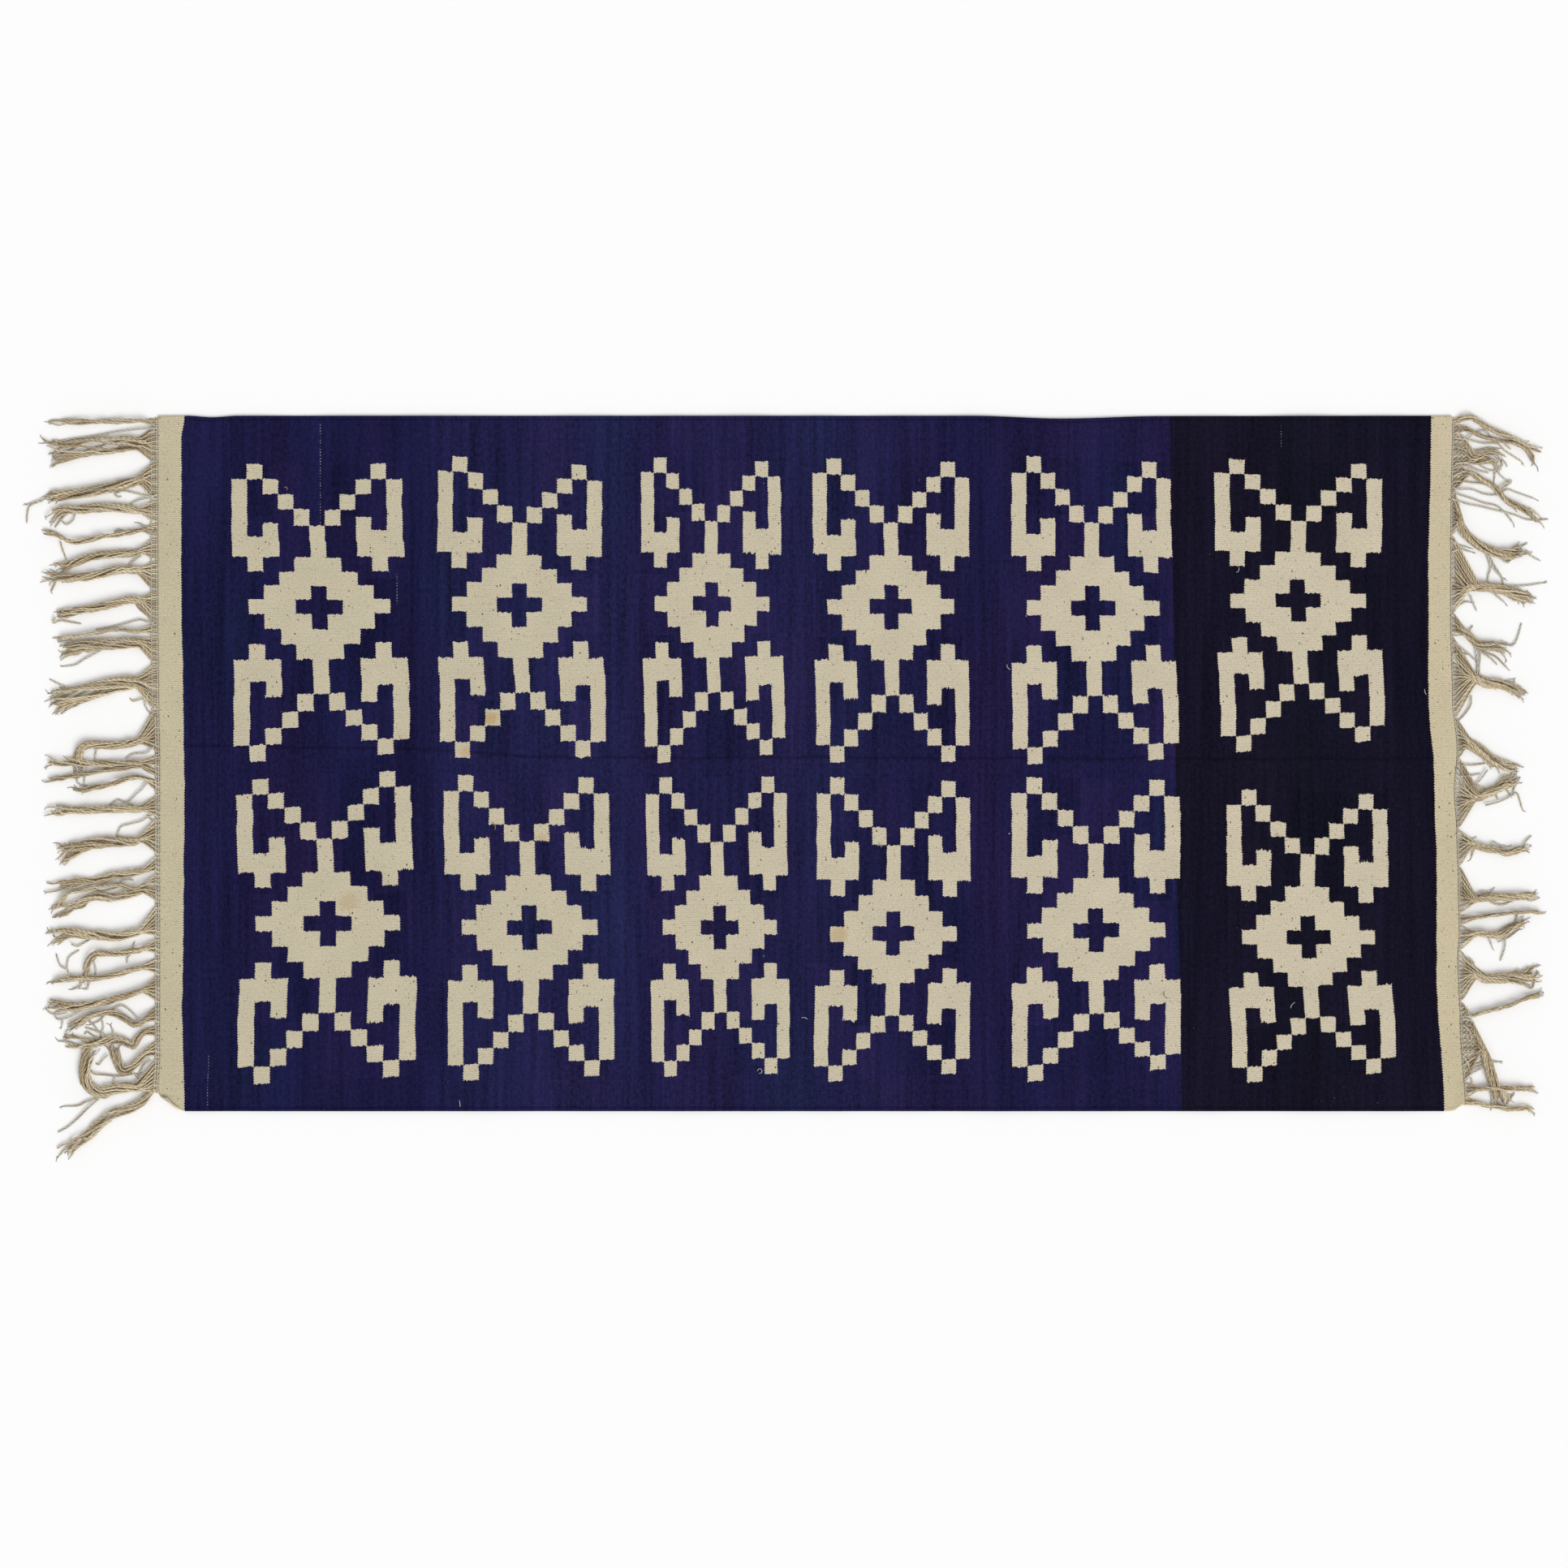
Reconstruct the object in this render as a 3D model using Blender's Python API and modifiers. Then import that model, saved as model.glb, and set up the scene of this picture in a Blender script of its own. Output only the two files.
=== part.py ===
"""Cotton dhurrie rug: one flat-woven web with a knotted warp fringe along each end.

Units are metres and +Z is up. The origin is the middle of the woven web, on the face that it
lies on. +X runs along the rug and +Y across it. The web and its two fringes are three solids:
the fringes are combs, whose teeth are the tassels lying flat on the same surface as the web.
"""

from collections import namedtuple

import bmesh
import bpy
from mathutils import Vector

MM = 0.001

# The woven web
WEB_LENGTH = 1.710
WEB_WIDTH = 0.916
WEB_THICK = 0.0024
SELVEDGE_ROUND = 0.0005
STATION_STEP = 0.024

# The rolled-over corner, where the left end meets the lower selvedge
ROLL_RADIUS = 0.0024
CORNER_ROLL = [(-855, -434), (-848, -434), (-836, -444), (-823, -455)]

# The fringes
FRINGE_THICK = 0.0030
FRINGE_GAP = 0.0003
HEADER_DEPTH = 0.0060
HEADER_LAP = 0.0030
FLARE_LENGTH = 0.022
TASSEL_STEP = 0.011
TIP_LENGTH = 0.006
TIP_NARROWING = 0.55

NAVY = (0.011, 0.010, 0.045, 1.0)
ECRU = (0.50, 0.42, 0.29, 1.0)

# How far each side of the web stands outside its straight line. All in millimetres.
Wander = namedtuple("Wander", "along out")
LEFT_END = [
    Wander(458, 1.0),
    Wander(200, 1.0),
    Wander(97, 0.0),
    Wander(6, -1.3),
    Wander(-390, -1.3),
    Wander(-430, 1.0),
]
RIGHT_END = [
    Wander(458, -5.4),
    Wander(322, -7.6),
    Wander(193, -8.1),
    Wander(86, -5.6),
    Wander(20, 0.4),
    Wander(-37, -3.1),
    Wander(-85, 0.0),
    Wander(-154, 2.1),
    Wander(-224, 3.5),
    Wander(-256, 1.4),
    Wander(-342, 4.8),
    Wander(-448, 11.0),
]
UPPER_SIDE = [
    Wander(-855, 0.0),
    Wander(-815, 0.0),
    Wander(-784, -2.0),
    Wander(-750, 0.0),
    Wander(215, 0.0),
    Wander(337, -3.7),
    Wander(465, -0.4),
    Wander(850, 0.0),
]
LOWER_SIDE = [Wander(-820, 0.0), Wander(850, 0.0)]

# One row for each tassel, in millimetres. root is where it leaves the web, along Y. near, far
# and tip are its points a third, two thirds and all of the way along, each as the distance
# beyond the end of the web and the place along Y. fan is half the stretch of edge whose warps
# it gathers, and waist and brush are its widths past the fan and at the tip.
Tassel = namedtuple("Tassel", "root near far tip fan waist brush")
LEFT_TASSELS = [
    Tassel(450, (49, 451), (98, 450), (146, 450), 3, 6, 9),
    Tassel(420, (51, 420), (100, 415), (150, 407), 15, 17, 27),
    Tassel(370, (49, 366), (98, 357), (152, 350), 17, 15, 12),
    Tassel(333, (50, 336), (99, 334), (145, 322), 10, 11, 13),
    Tassel(309, (53, 302), (104, 292), (154, 305), 6, 7, 6),
    Tassel(281, (48, 276), (94, 270), (139, 256), 11, 11, 11),
    Tassel(251, (51, 255), (101, 245), (152, 246), 18, 11, 11),
    Tassel(210, (46, 213), (91, 204), (136, 196), 15, 11, 9),
    Tassel(176, (49, 176), (96, 169), (143, 165), 7, 5, 5),
    Tassel(153, (45, 158), (89, 156), (133, 147), 16, 13, 17),
    Tassel(105, (50, 104), (97, 93), (143, 78), 24, 18, 24),
    Tassel(38, (44, 26), (88, 25), (107, -10), 21, 10, 11),
    Tassel(3, (51, 1), (102, 0), (152, 5), 10, 7, 10),
    Tassel(-12, (51, -7), (100, -14), (150, -23), 5, 6, 7),
    Tassel(-28, (38, -20), (75, -30), (113, -32), 6, 6, 6),
    Tassel(-59, (50, -60), (99, -62), (148, -62), 10, 10, 11),
    Tassel(-95, (46, -103), (91, -108), (135, -123), 24, 10, 19),
    Tassel(-132, (49, -146), (98, -155), (148, -166), 8, 10, 12),
    Tassel(-154, (49, -161), (98, -167), (139, -193), 6, 5, 5),
    Tassel(-170, (49, -174), (96, -180), (142, -197), 7, 10, 13),
    Tassel(-216, (48, -226), (96, -224), (143, -231), 20, 10, 15),
    Tassel(-240, (42, -249), (83, -254), (97, -290), 9, 7, 9),
    Tassel(-269, (49, -276), (97, -283), (144, -291), 10, 9, 7),
    Tassel(-294, (49, -308), (98, -319), (148, -316), 13, 8, 11),
    Tassel(-331, (40, -339), (81, -331), (120, -350), 8, 9, 9),
    Tassel(-351, (38, -370), (83, -368), (129, -364), 6, 9, 15),
    Tassel(-373, (27, -392), (52, -397), (62, -366), 9, 10, 13),
    Tassel(-412, (52, -428), (92, -418), (87, -372), 18, 13, 14),
    Tassel(-428, (47, -458), (88, -485), (128, -515), 4, 12, 15),
]
RIGHT_TASSELS = [
    Tassel(452, (36, 447), (75, 427), (114, 410), 4, 9, 6),
    Tassel(440, (35, 431), (76, 422), (104, 394), 6, 7, 6),
    Tassel(405, (18, 402), (40, 404), (60, 397), 24, 17, 17),
    Tassel(378, (39, 371), (75, 341), (114, 315), 14, 8, 9),
    Tassel(338, (14, 300), (50, 279), (91, 284), 13, 11, 13),
    Tassel(234, (29, 233), (65, 228), (99, 217), 26, 13, 11),
    Tassel(187, (18, 167), (43, 155), (73, 149), 11, 12, 11),
    Tassel(119, (28, 110), (59, 104), (89, 90), 35, 17, 9),
    Tassel(38, (25, 21), (53, 2), (84, -9), 13, 19, 9),
    Tassel(-53, (28, -44), (55, -33), (81, -21), 28, 15, 9),
    Tassel(-108, (31, -111), (63, -117), (95, -110), 17, 12, 7),
    Tassel(-170, (36, -177), (71, -176), (106, -174), 22, 10, 10),
    Tassel(-203, (42, -201), (80, -196), (118, -197), 5, 5, 5),
    Tassel(-227, (36, -224), (66, -221), (94, -206), 14, 11, 7),
    Tassel(-281, (40, -283), (76, -282), (111, -274), 28, 10, 17),
    Tassel(-324, (42, -326), (80, -315), (119, -303), 9, 6, 6),
    Tassel(-375, (37, -385), (48, -418), (63, -446), 40, 12, 13),
    Tassel(-430, (42, -428), (75, -428), (108, -429), 8, 7, 8),
    Tassel(-441, (44, -451), (78, -455), (111, -462), 3, 7, 8),
]


def clear_scene():
    for old in list(bpy.data.objects):
        bpy.data.objects.remove(old, do_unlink=True)


def new_collection(name):
    collection = bpy.data.collections.new(name)
    bpy.context.scene.collection.children.link(collection)
    return collection


def cotton(name, color):
    material = bpy.data.materials.new(name)
    material.use_nodes = True
    shader = material.node_tree.nodes["Principled BSDF"]
    shader.inputs["Base Color"].default_value = color
    shader.inputs["Roughness"].default_value = 0.9
    shader.inputs["Metallic"].default_value = 0.0
    material.diffuse_color = color
    return material


def ease(part):
    return part * part * (3 - 2 * part)


def wander_at(table, along):
    """The side's offset in metres at a place along it, eased from row to row of the table."""
    rows = sorted(table)
    place = along / MM
    if place <= rows[0].along:
        return rows[0].out * MM
    for low, high in zip(rows, rows[1:]):
        if place <= high.along:
            part = ease((place - low.along) / (high.along - low.along))
            return (low.out + (high.out - low.out) * part) * MM
    return rows[-1].out * MM


def stations(start, end):
    """Evenly spaced places from start to end, both included."""
    count = max(1, round(abs(end - start) / STATION_STEP))
    return [start + (end - start) * number / count for number in range(count + 1)]


def end_line(side, table, beyond=0.0):
    """The web's end as (x, y) points, or a line the given distance beyond it. side is -1 or 1."""
    reach = [row.along * MM for row in table]
    return [
        (side * (WEB_LENGTH / 2 + wander_at(table, y) + beyond), y)
        for y in stations(max(reach), min(reach))
    ]


def web_outline():
    upper = [
        (x, WEB_WIDTH / 2 + wander_at(UPPER_SIDE, x))
        for x in stations(UPPER_SIDE[-1].along * MM, UPPER_SIDE[0].along * MM)
    ]
    corner = [(x * MM, y * MM) for x, y in CORNER_ROLL[1:]]
    lower = [(row.along * MM, -WEB_WIDTH / 2) for row in LOWER_SIDE]
    right = list(reversed(end_line(1, RIGHT_END)))
    return upper[1:-1] + end_line(-1, LEFT_END) + corner + lower + right


def slab(name, outline, thick, collection):
    """A flat solid with the given outline, its underside at z = 0, as a welded mesh object."""
    curve = bpy.data.curves.new(name + "_outline", "CURVE")
    curve.dimensions = "2D"
    curve.fill_mode = "BOTH"
    curve.extrude = thick / 2
    line = curve.splines.new("POLY")
    line.points.add(len(outline) - 1)
    for point, (x, y) in zip(line.points, outline):
        point.co = (x, y, 0, 1)
    line.use_cyclic_u = True
    return welded_copy(name, curve, (0, 0, thick / 2), collection)


def tube(name, route, radius, collection):
    """A round bar along the route, lying on z = 0, as a welded mesh object."""
    curve = bpy.data.curves.new(name + "_route", "CURVE")
    curve.dimensions = "3D"
    curve.bevel_depth = radius
    curve.bevel_resolution = 2
    curve.use_fill_caps = True
    line = curve.splines.new("POLY")
    line.points.add(len(route) - 1)
    for point, (x, y) in zip(line.points, route):
        point.co = (x, y, 0, 1)
    return welded_copy(name, curve, (0, 0, radius), collection)


def welded_copy(name, curve, place, collection):
    """Turns a curve into a closed mesh object at the same place, and removes the curve."""
    source = bpy.data.objects.new(name + "_curve", curve)
    source.location = place
    bpy.context.scene.collection.objects.link(source)
    bpy.context.view_layer.update()
    graph = bpy.context.evaluated_depsgraph_get()
    mesh = bpy.data.meshes.new_from_object(source.evaluated_get(graph))
    mesh.name = name
    form = bmesh.new()
    form.from_mesh(mesh)
    bmesh.ops.remove_doubles(form, verts=form.verts, dist=0.00001)
    bmesh.ops.recalc_face_normals(form, faces=form.faces)
    form.to_mesh(mesh)
    form.free()
    made = bpy.data.objects.new(name, mesh)
    made.matrix_world = source.matrix_world.copy()
    collection.objects.link(made)
    bpy.data.objects.remove(source)
    bpy.data.curves.remove(curve)
    return made


def make_helper(helper):
    helper.hide_render = True
    helper.display_type = "WIRE"


def join_forms(target, forms):
    """A Boolean union of the target with every object in the collection of forms."""
    union = target.modifiers.new("union", "BOOLEAN")
    union.operation = "UNION"
    union.solver = "EXACT"
    union.operand_type = "COLLECTION"
    union.collection = forms


def smooth_route(points, step):
    """Points about one step apart on a smooth curve through the given ones."""
    ends = [2 * points[0] - points[1]] + points + [2 * points[-1] - points[-2]]
    route = []
    for before, start, end, after in zip(ends, ends[1:], ends[2:], ends[3:]):
        count = max(1, round((end - start).length / step))
        for number in range(count):
            part = number / count
            bend = (
                2 * start
                + (end - before) * part
                + (2 * before - 5 * start + 4 * end - after) * part**2
                + (3 * start - before - 3 * end + after) * part**3
            )
            route.append(bend / 2)
    route.append(points[-1])
    return route


def clear_of_web(side, table, point):
    """Moves a point outwards where it would stand nearer to the web than the header's middle."""
    nearest = WEB_LENGTH / 2 + wander_at(table, point.y) + HEADER_LAP
    return side * max(side * point.x, nearest), point.y


def tassel_outline(side, table, tassel):
    """The tassel's flat outline: a fan at the header, a waist, and a brush at the tip."""
    base = WEB_LENGTH / 2 + wander_at(table, tassel.root * MM) + HEADER_LAP
    points = [Vector((side * base, tassel.root * MM))]
    for out, across in (tassel.near, tassel.far, tassel.tip):
        points.append(Vector((side * (WEB_LENGTH / 2 + out * MM), across * MM)))
    route = smooth_route(points, TASSEL_STEP)
    gone = [0.0]
    for start, end in zip(route, route[1:]):
        gone.append(gone[-1] + (end - start).length)
    one_edge = []
    other_edge = []
    for index, (point, distance) in enumerate(zip(route, gone)):
        part = distance / gone[-1]
        half = (tassel.waist + (tassel.brush - tassel.waist) * part) * MM / 2
        if gone[-1] - distance < TIP_LENGTH:
            half *= TIP_NARROWING
        ahead = route[min(index + 1, len(route) - 1)] - route[max(index - 1, 0)]
        across = Vector((-ahead.y, ahead.x)).normalized() * side
        flare = max(0.0, 1 - distance / FLARE_LENGTH)
        half += (tassel.fan * MM - half) * flare**2
        if index == 0:
            across = Vector((0, 1))
        one_edge.append(point + across * half)
        other_edge.append(point - across * half)
    return [clear_of_web(side, table, point) for point in one_edge + other_edge[::-1]]


def build_web(rug, forms):
    web = slab("web", web_outline(), WEB_THICK, rug)
    bevel = web.modifiers.new("selvedge", "BEVEL")
    bevel.width = SELVEDGE_ROUND
    bevel.segments = 1
    bevel.limit_method = "ANGLE"
    corner = [(x * MM, y * MM) for x, y in CORNER_ROLL]
    make_helper(tube("corner_roll", corner, ROLL_RADIUS, forms))
    join_forms(web, forms)
    web.data.materials.append(cotton("navy_and_cream_cotton", NAVY))


def build_fringe(name, side, table, tassels, rug, forms):
    inner = end_line(side, table, FRINGE_GAP)
    outer = end_line(side, table, HEADER_DEPTH)
    fringe = slab(name, inner + outer[::-1], FRINGE_THICK, rug)
    for number, tassel in enumerate(tassels):
        outline = tassel_outline(side, table, tassel)
        make_helper(slab(f"{name}_tassel_{number:02d}", outline, FRINGE_THICK, forms))
    join_forms(fringe, forms)
    fringe.data.materials.append(cotton("ecru_warp_cotton", ECRU))


def build():
    clear_scene()
    rug = new_collection("dhurrie_rug")
    build_web(rug, new_collection("web_forms"))
    build_fringe("fringe_left", -1, LEFT_END, LEFT_TASSELS, rug, new_collection("left_forms"))
    build_fringe("fringe_right", 1, RIGHT_END, RIGHT_TASSELS, rug, new_collection("right_forms"))


build()
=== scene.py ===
"""The looks of a cotton dhurrie rug: its woven web, its knotted warp fringes and its loose ends.

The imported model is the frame, in metres with +Z up. The tables are in millimetres. The web is
one closed sheet whose pattern is worked out in its material from chart coordinates kept on the
mesh. The fringes are real cords, gathered into tassels.
"""

import math
from collections import namedtuple

import bpy
import numpy as np
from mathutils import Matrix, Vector

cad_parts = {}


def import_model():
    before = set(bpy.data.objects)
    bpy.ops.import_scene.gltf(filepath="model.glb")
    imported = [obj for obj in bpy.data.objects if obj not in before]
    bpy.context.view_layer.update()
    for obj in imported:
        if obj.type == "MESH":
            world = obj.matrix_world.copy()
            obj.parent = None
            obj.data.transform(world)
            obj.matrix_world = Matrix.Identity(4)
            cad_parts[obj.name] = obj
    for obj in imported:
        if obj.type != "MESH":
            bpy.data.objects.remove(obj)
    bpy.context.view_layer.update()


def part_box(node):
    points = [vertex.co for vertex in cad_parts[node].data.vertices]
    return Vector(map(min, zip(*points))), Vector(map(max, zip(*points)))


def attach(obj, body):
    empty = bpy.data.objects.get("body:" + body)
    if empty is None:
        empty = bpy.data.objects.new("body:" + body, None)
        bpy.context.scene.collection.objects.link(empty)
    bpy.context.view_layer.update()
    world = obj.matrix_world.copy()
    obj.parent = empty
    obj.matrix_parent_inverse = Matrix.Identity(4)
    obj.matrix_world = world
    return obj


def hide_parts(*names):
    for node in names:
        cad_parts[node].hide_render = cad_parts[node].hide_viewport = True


MM = 0.001

# The weave
RIB_PITCH = 1.75 * MM
PICK_PITCH = 0.62 * MM
THICKNESS = 2.4 * MM
SELVEDGE_EXTRA = 0.7 * MM
SELVEDGE_WIDTH = 5.0 * MM
RIM_ROUND = 0.9 * MM
RIM_INSET = 0.8 * RIM_ROUND

# The grid that the web is built on
GRID_STEP = 8.5 * MM
FINE_STEP = 1.3 * MM
FINE_ALONG = 42.0 * MM
FINE_ACROSS = 34.0 * MM
END_REACH = 150.0 * MM
SIDE_REACH = 60.0 * MM
SELVEDGE_STEPS = 3

# How far each side of the web stands outside its straight line
Wander = namedtuple("Wander", "along out")
LEFT_END = [
    Wander(458, 1.0),
    Wander(200, 1.0),
    Wander(97, 0.0),
    Wander(6, -1.3),
    Wander(-390, -1.3),
    Wander(-430, 1.0),
]
RIGHT_END = [
    Wander(458, -5.4),
    Wander(322, -7.6),
    Wander(193, -8.1),
    Wander(86, -5.6),
    Wander(20, 0.4),
    Wander(-37, -3.1),
    Wander(-85, 0.0),
    Wander(-154, 2.1),
    Wander(-224, 3.5),
    Wander(-256, 1.4),
    Wander(-342, 4.8),
    Wander(-448, 11.0),
]
UPPER_SIDE = [
    Wander(-855, 0.0),
    Wander(-815, 0.0),
    Wander(-784, -2.0),
    Wander(-750, 0.0),
    Wander(215, 0.0),
    Wander(337, -3.7),
    Wander(465, -0.4),
    Wander(850, 0.0),
]
LOWER_SIDE = [Wander(838, 0.0), Wander(856, -10.0)]

# Where the dyed stretches of weft meet, as places along X for each place along Y
Edge = namedtuple("Edge", "across along")
LEFT_BAND = [
    Edge(458, -821),
    Edge(430, -825),
    Edge(215, -825),
    Edge(119, -823),
    Edge(-42, -821),
    Edge(-170, -822),
    Edge(-331, -824),
    Edge(-457, -821),
]
RIGHT_BAND = [
    Edge(457, 822),
    Edge(258, 818),
    Edge(97, 818),
    Edge(-26, 826),
    Edge(-128, 829),
    Edge(-277, 829),
    Edge(-455, 839),
]
DARK_STRETCH = [Edge(457, 478), Edge(1, 485), Edge(-455, 493)]
CREASE = [Wander(-855, 24), Wander(-560, 20), Wander(-300, 8), Wander(855, 6)]

# The corner that curls over, where the left end meets the lower selvedge
FOLD_START = (-856, -432)
FOLD_END = (-820, -458)
FOLD_RADIUS = 2.5 * MM
FOLD_SHRINK = 0.42

# Slow waves in the cloth as it lies
Wave = namedtuple("Wave", "along across height shift")
WAVES = [
    Wave(410, 900, 0.7, 0.3),
    Wave(233, -560, 0.5, 1.9),
    Wave(131, 310, 0.3, 4.1),
]
RIPPLE_LENGTH = 118.0 * MM
RIPPLE_HEIGHT = 0.8 * MM
RIPPLE_REACH = 45.0 * MM
CREASE_WIDTH = 9.0 * MM
CREASE_HEIGHT = 0.9 * MM

# One row for each motif: the bars' outer edges along X in its upper and its lower half, the ends
# of its left and right feet along Y above and below, and its middle.
Motif = namedtuple("Motif", "upper_bars lower_bars upper_feet lower_feet middle")
MOTIFS = [
    Motif((-759, -534), (-756, -525), (394, 394), (2, 11), (-643, 207)),
    Motif((-487, -271), (-484, -266), (404, 393), (7, 8), (-380, 210)),
    Motif((-219, -35), (-215, -30), (403, 398), (1, 11), (-126, 211)),
    Motif((7, 213), (11, 213), (402, 397), (2, 2), (110, 207)),
    Motif((269, 479), (270, 488), (404, 397), (-1, 5), (376, 205)),
    Motif((537, 757), (544, 760), (401, 395), (16, 29), (646, 215)),
    Motif((-752, -522), (-751, -517), (-20, -10), (-421, -413), (-632, -210)),
    Motif((-479, -261), (-474, -255), (-16, -19), (-418, -412), (-366, -216)),
    Motif((-212, -27), (-206, -24), (-19, -18), (-413, -409), (-116, -216)),
    Motif((12, 214), (9, 214), (-18, -23), (-418, -409), (113, -225)),
    Motif((269, 491), (270, 492), (-18, -22), (-418, -404), (380, -220)),
    Motif((553, 765), (559, 774), (-35, -40), (-420, -408), (660, -229)),
]
HALF_COLUMNS = 5.5
HALF_ROWS = 9.5
FOOT_COLUMN = 4.0
BAR_ROW = 6.0
SHOULDER_ROW = 3.5
FORK_ROW = 6.5
CELL = 20.5

# All the motifs share one chart. Its uneven rows, as shares of the way from the middle to a foot
SHOULDER = 0.345
FORK = 0.685
LEFT_HOOK_DEPTH = 0.145
RIGHT_HOOK_DEPTH = 0.19
HOOK_TAIL = 0.1
HOOK_TIP = 0.095

# Yarn in the fringes
CORD_RADIUS = 1.25 * MM
STRAY_RADIUS = 1.15 * MM
CORD_PITCH = 3.3 * MM
CORD_SIDES = 6
CORD_STEP = 3.6 * MM
PLY_PITCH = 7.0 * MM
JOIN_NEAR = 11.0 * MM
JOIN_SLOPE = 0.32
MOST_PILE = 4.3 * MM
LEAST_CORDS = 0.6
FRAY_RADIUS = 0.6 * MM
TWINE_RADIUS = 0.7 * MM
TWINE_STEP = 1.1 * MM
THREAD_RADIUS = 0.45 * MM
THREAD_POINTS = 9
THREAD_LIFT = 1.6 * MM

# The header is deeper along the upper part of the left end, and round two places along the right
HEADER_STEP = 3.2 * MM
ROOT_DEPTH = 2.0 * MM
LEFT_HEADER_CHANGE = 65 * MM
LEFT_HEADER_DEPTH = 5.0 * MM
LEFT_HEADER_DEEP = 8.5 * MM
RIGHT_HEADER_DEPTH = 4.0 * MM
RIGHT_HEADER_EXTRA = 15.0 * MM
RIGHT_HEADER_DEEP = (404 * MM, -366 * MM)
RIGHT_HEADER_REACH = 50 * MM
MOST_PULL = 6 * MM
PULL_SHARE = 0.25

# Tassels: how their cords wind, pile up, end and spread into a brush
SPINE_STEP = 2.5 * MM
ROUTE_STEP = 8.5 * MM
PACKING = 1.5
LAY = 16
LEAST_WAIST = 7
LEAST_SPREAD = 0.6 * MM
BRUSH_LENGTH = 22 * MM
SHORT_CORDS = 0.12
STRAY_LIFTS = (3.2 * MM, 1.6 * MM, 0.0)

# One row for each tassel: half the stretch of edge that it gathers, its widths past the fan and
# at the tip, and its route as distances beyond the end of the web and places along Y
Bundle = namedtuple("Bundle", "fan waist brush route")
LEFT_BUNDLES = [
    Bundle(3, 5, 9, [(1, 451), (49, 451), (106, 450), (146, 450)]),
    Bundle(15, 18, 28, [(1, 420), (31, 422), (61, 419), (91, 417), (121, 411), (150, 407)]),
    Bundle(17, 15, 12, [(1, 370), (16, 374), (38, 369), (61, 364), (91, 358), (121, 354), (148, 350)]),
    Bundle(10, 11, 13, [(1, 333), (23, 333), (46, 336), (76, 337), (106, 334), (128, 333), (145, 322)]),
    Bundle(6, 7, 6, [(1, 309), (23, 307), (46, 303), (76, 298), (106, 292), (121, 294), (136, 302),
        (154, 305)]),
    Bundle(11, 11, 11, [(1, 281), (16, 281), (31, 277), (53, 276), (83, 273), (106, 266), (124, 259),
        (139, 256)]),
    Bundle(19, 11, 11, [(1, 251), (23, 253), (46, 256), (61, 253), (83, 248), (113, 244), (136, 245),
        (152, 246)]),
    Bundle(15, 11, 9, [(1, 210), (16, 213), (38, 215), (61, 210), (83, 205), (106, 201), (136, 196)]),
    Bundle(7, 5, 4, [(1, 175), (31, 174), (53, 176), (76, 173), (98, 169), (121, 166), (143, 165)]),
    Bundle(17, 13, 17, [(1, 153), (16, 157), (27, 159), (46, 158), (68, 157), (98, 155), (118, 149),
        (133, 147)]),
    Bundle(24, 18, 24, [(1, 105), (23, 106), (38, 106), (61, 103), (83, 97), (113, 89), (143, 78)]),
    Bundle(21, 10, 11, [(1, 38), (23, 30), (46, 25), (68, 24), (91, 25), (103, 18), (107, 1), (107, -10)]),
    Bundle(11, 7, 10, [(1, 1), (23, 1), (53, 0), (83, 0), (113, 1), (136, 1), (152, 5)]),
    Bundle(6, 6, 7, [(1, -10), (25, -4), (53, -7), (76, -10), (98, -14), (121, -18), (150, -23)]),
    Bundle(6, 6, 6, [(1, -27), (16, -21), (31, -18), (53, -24), (68, -29), (98, -34), (113, -32)]),
    Bundle(10, 10, 11, [(1, -59), (16, -59), (53, -60), (83, -61), (113, -62), (148, -62)]),
    Bundle(24, 10, 19, [(1, -95), (16, -97), (31, -103), (53, -103), (76, -104), (98, -109), (121, -118),
        (135, -123)]),
    Bundle(9, 10, 12, [(1, -132), (11, -139), (38, -145), (61, -148), (83, -155), (106, -155), (128, -161),
        (148, -166)]),
    Bundle(6, 5, 5, [(1, -154), (18, -159), (33, -165), (53, -160), (76, -162), (98, -167), (117, -170),
        (128, -182), (139, -193)]),
    Bundle(7, 10, 13, [(1, -170), (16, -167), (38, -172), (61, -177), (76, -175), (91, -178), (113, -189),
        (142, -197)]),
    Bundle(21, 10, 15, [(1, -216), (13, -217), (23, -221), (46, -226), (61, -228), (83, -226), (106, -223),
        (121, -224), (143, -231)]),
    Bundle(11, 7, 9, [(1, -237), (23, -245), (38, -248), (61, -251), (80, -250), (89, -256), (95, -271),
        (97, -290)]),
    Bundle(10, 9, 6, [(1, -269), (14, -268), (38, -273), (61, -279), (83, -283), (106, -283), (121, -284),
        (144, -291)]),
    Bundle(13, 7, 11, [(1, -294), (23, -300), (38, -305), (61, -311), (83, -317), (106, -320), (128, -318),
        (148, -316)]),
    Bundle(9, 9, 9, [(1, -331), (18, -338), (29, -345), (38, -340), (53, -331), (68, -328), (91, -333),
        (106, -343), (120, -350)]),
    Bundle(6, 9, 15, [(1, -351), (16, -353), (28, -363), (35, -373), (44, -366), (57, -364), (76, -367),
        (98, -369), (129, -364)]),
    Bundle(9, 10, 13, [(1, -373), (16, -381), (31, -396), (46, -405), (53, -396), (57, -381), (62, -366)]),
    Bundle(24, 13, 15, [(4, -422), (22, -425), (38, -426), (60, -429), (76, -434), (92, -425), (97, -406),
        (94, -384), (85, -372)]),
    Bundle(4, 12, 15, [(5, -430), (15, -440), (26, -449), (42, -456), (58, -461), (76, -474), (92, -489),
        (111, -502), (128, -515)]),
]
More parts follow.
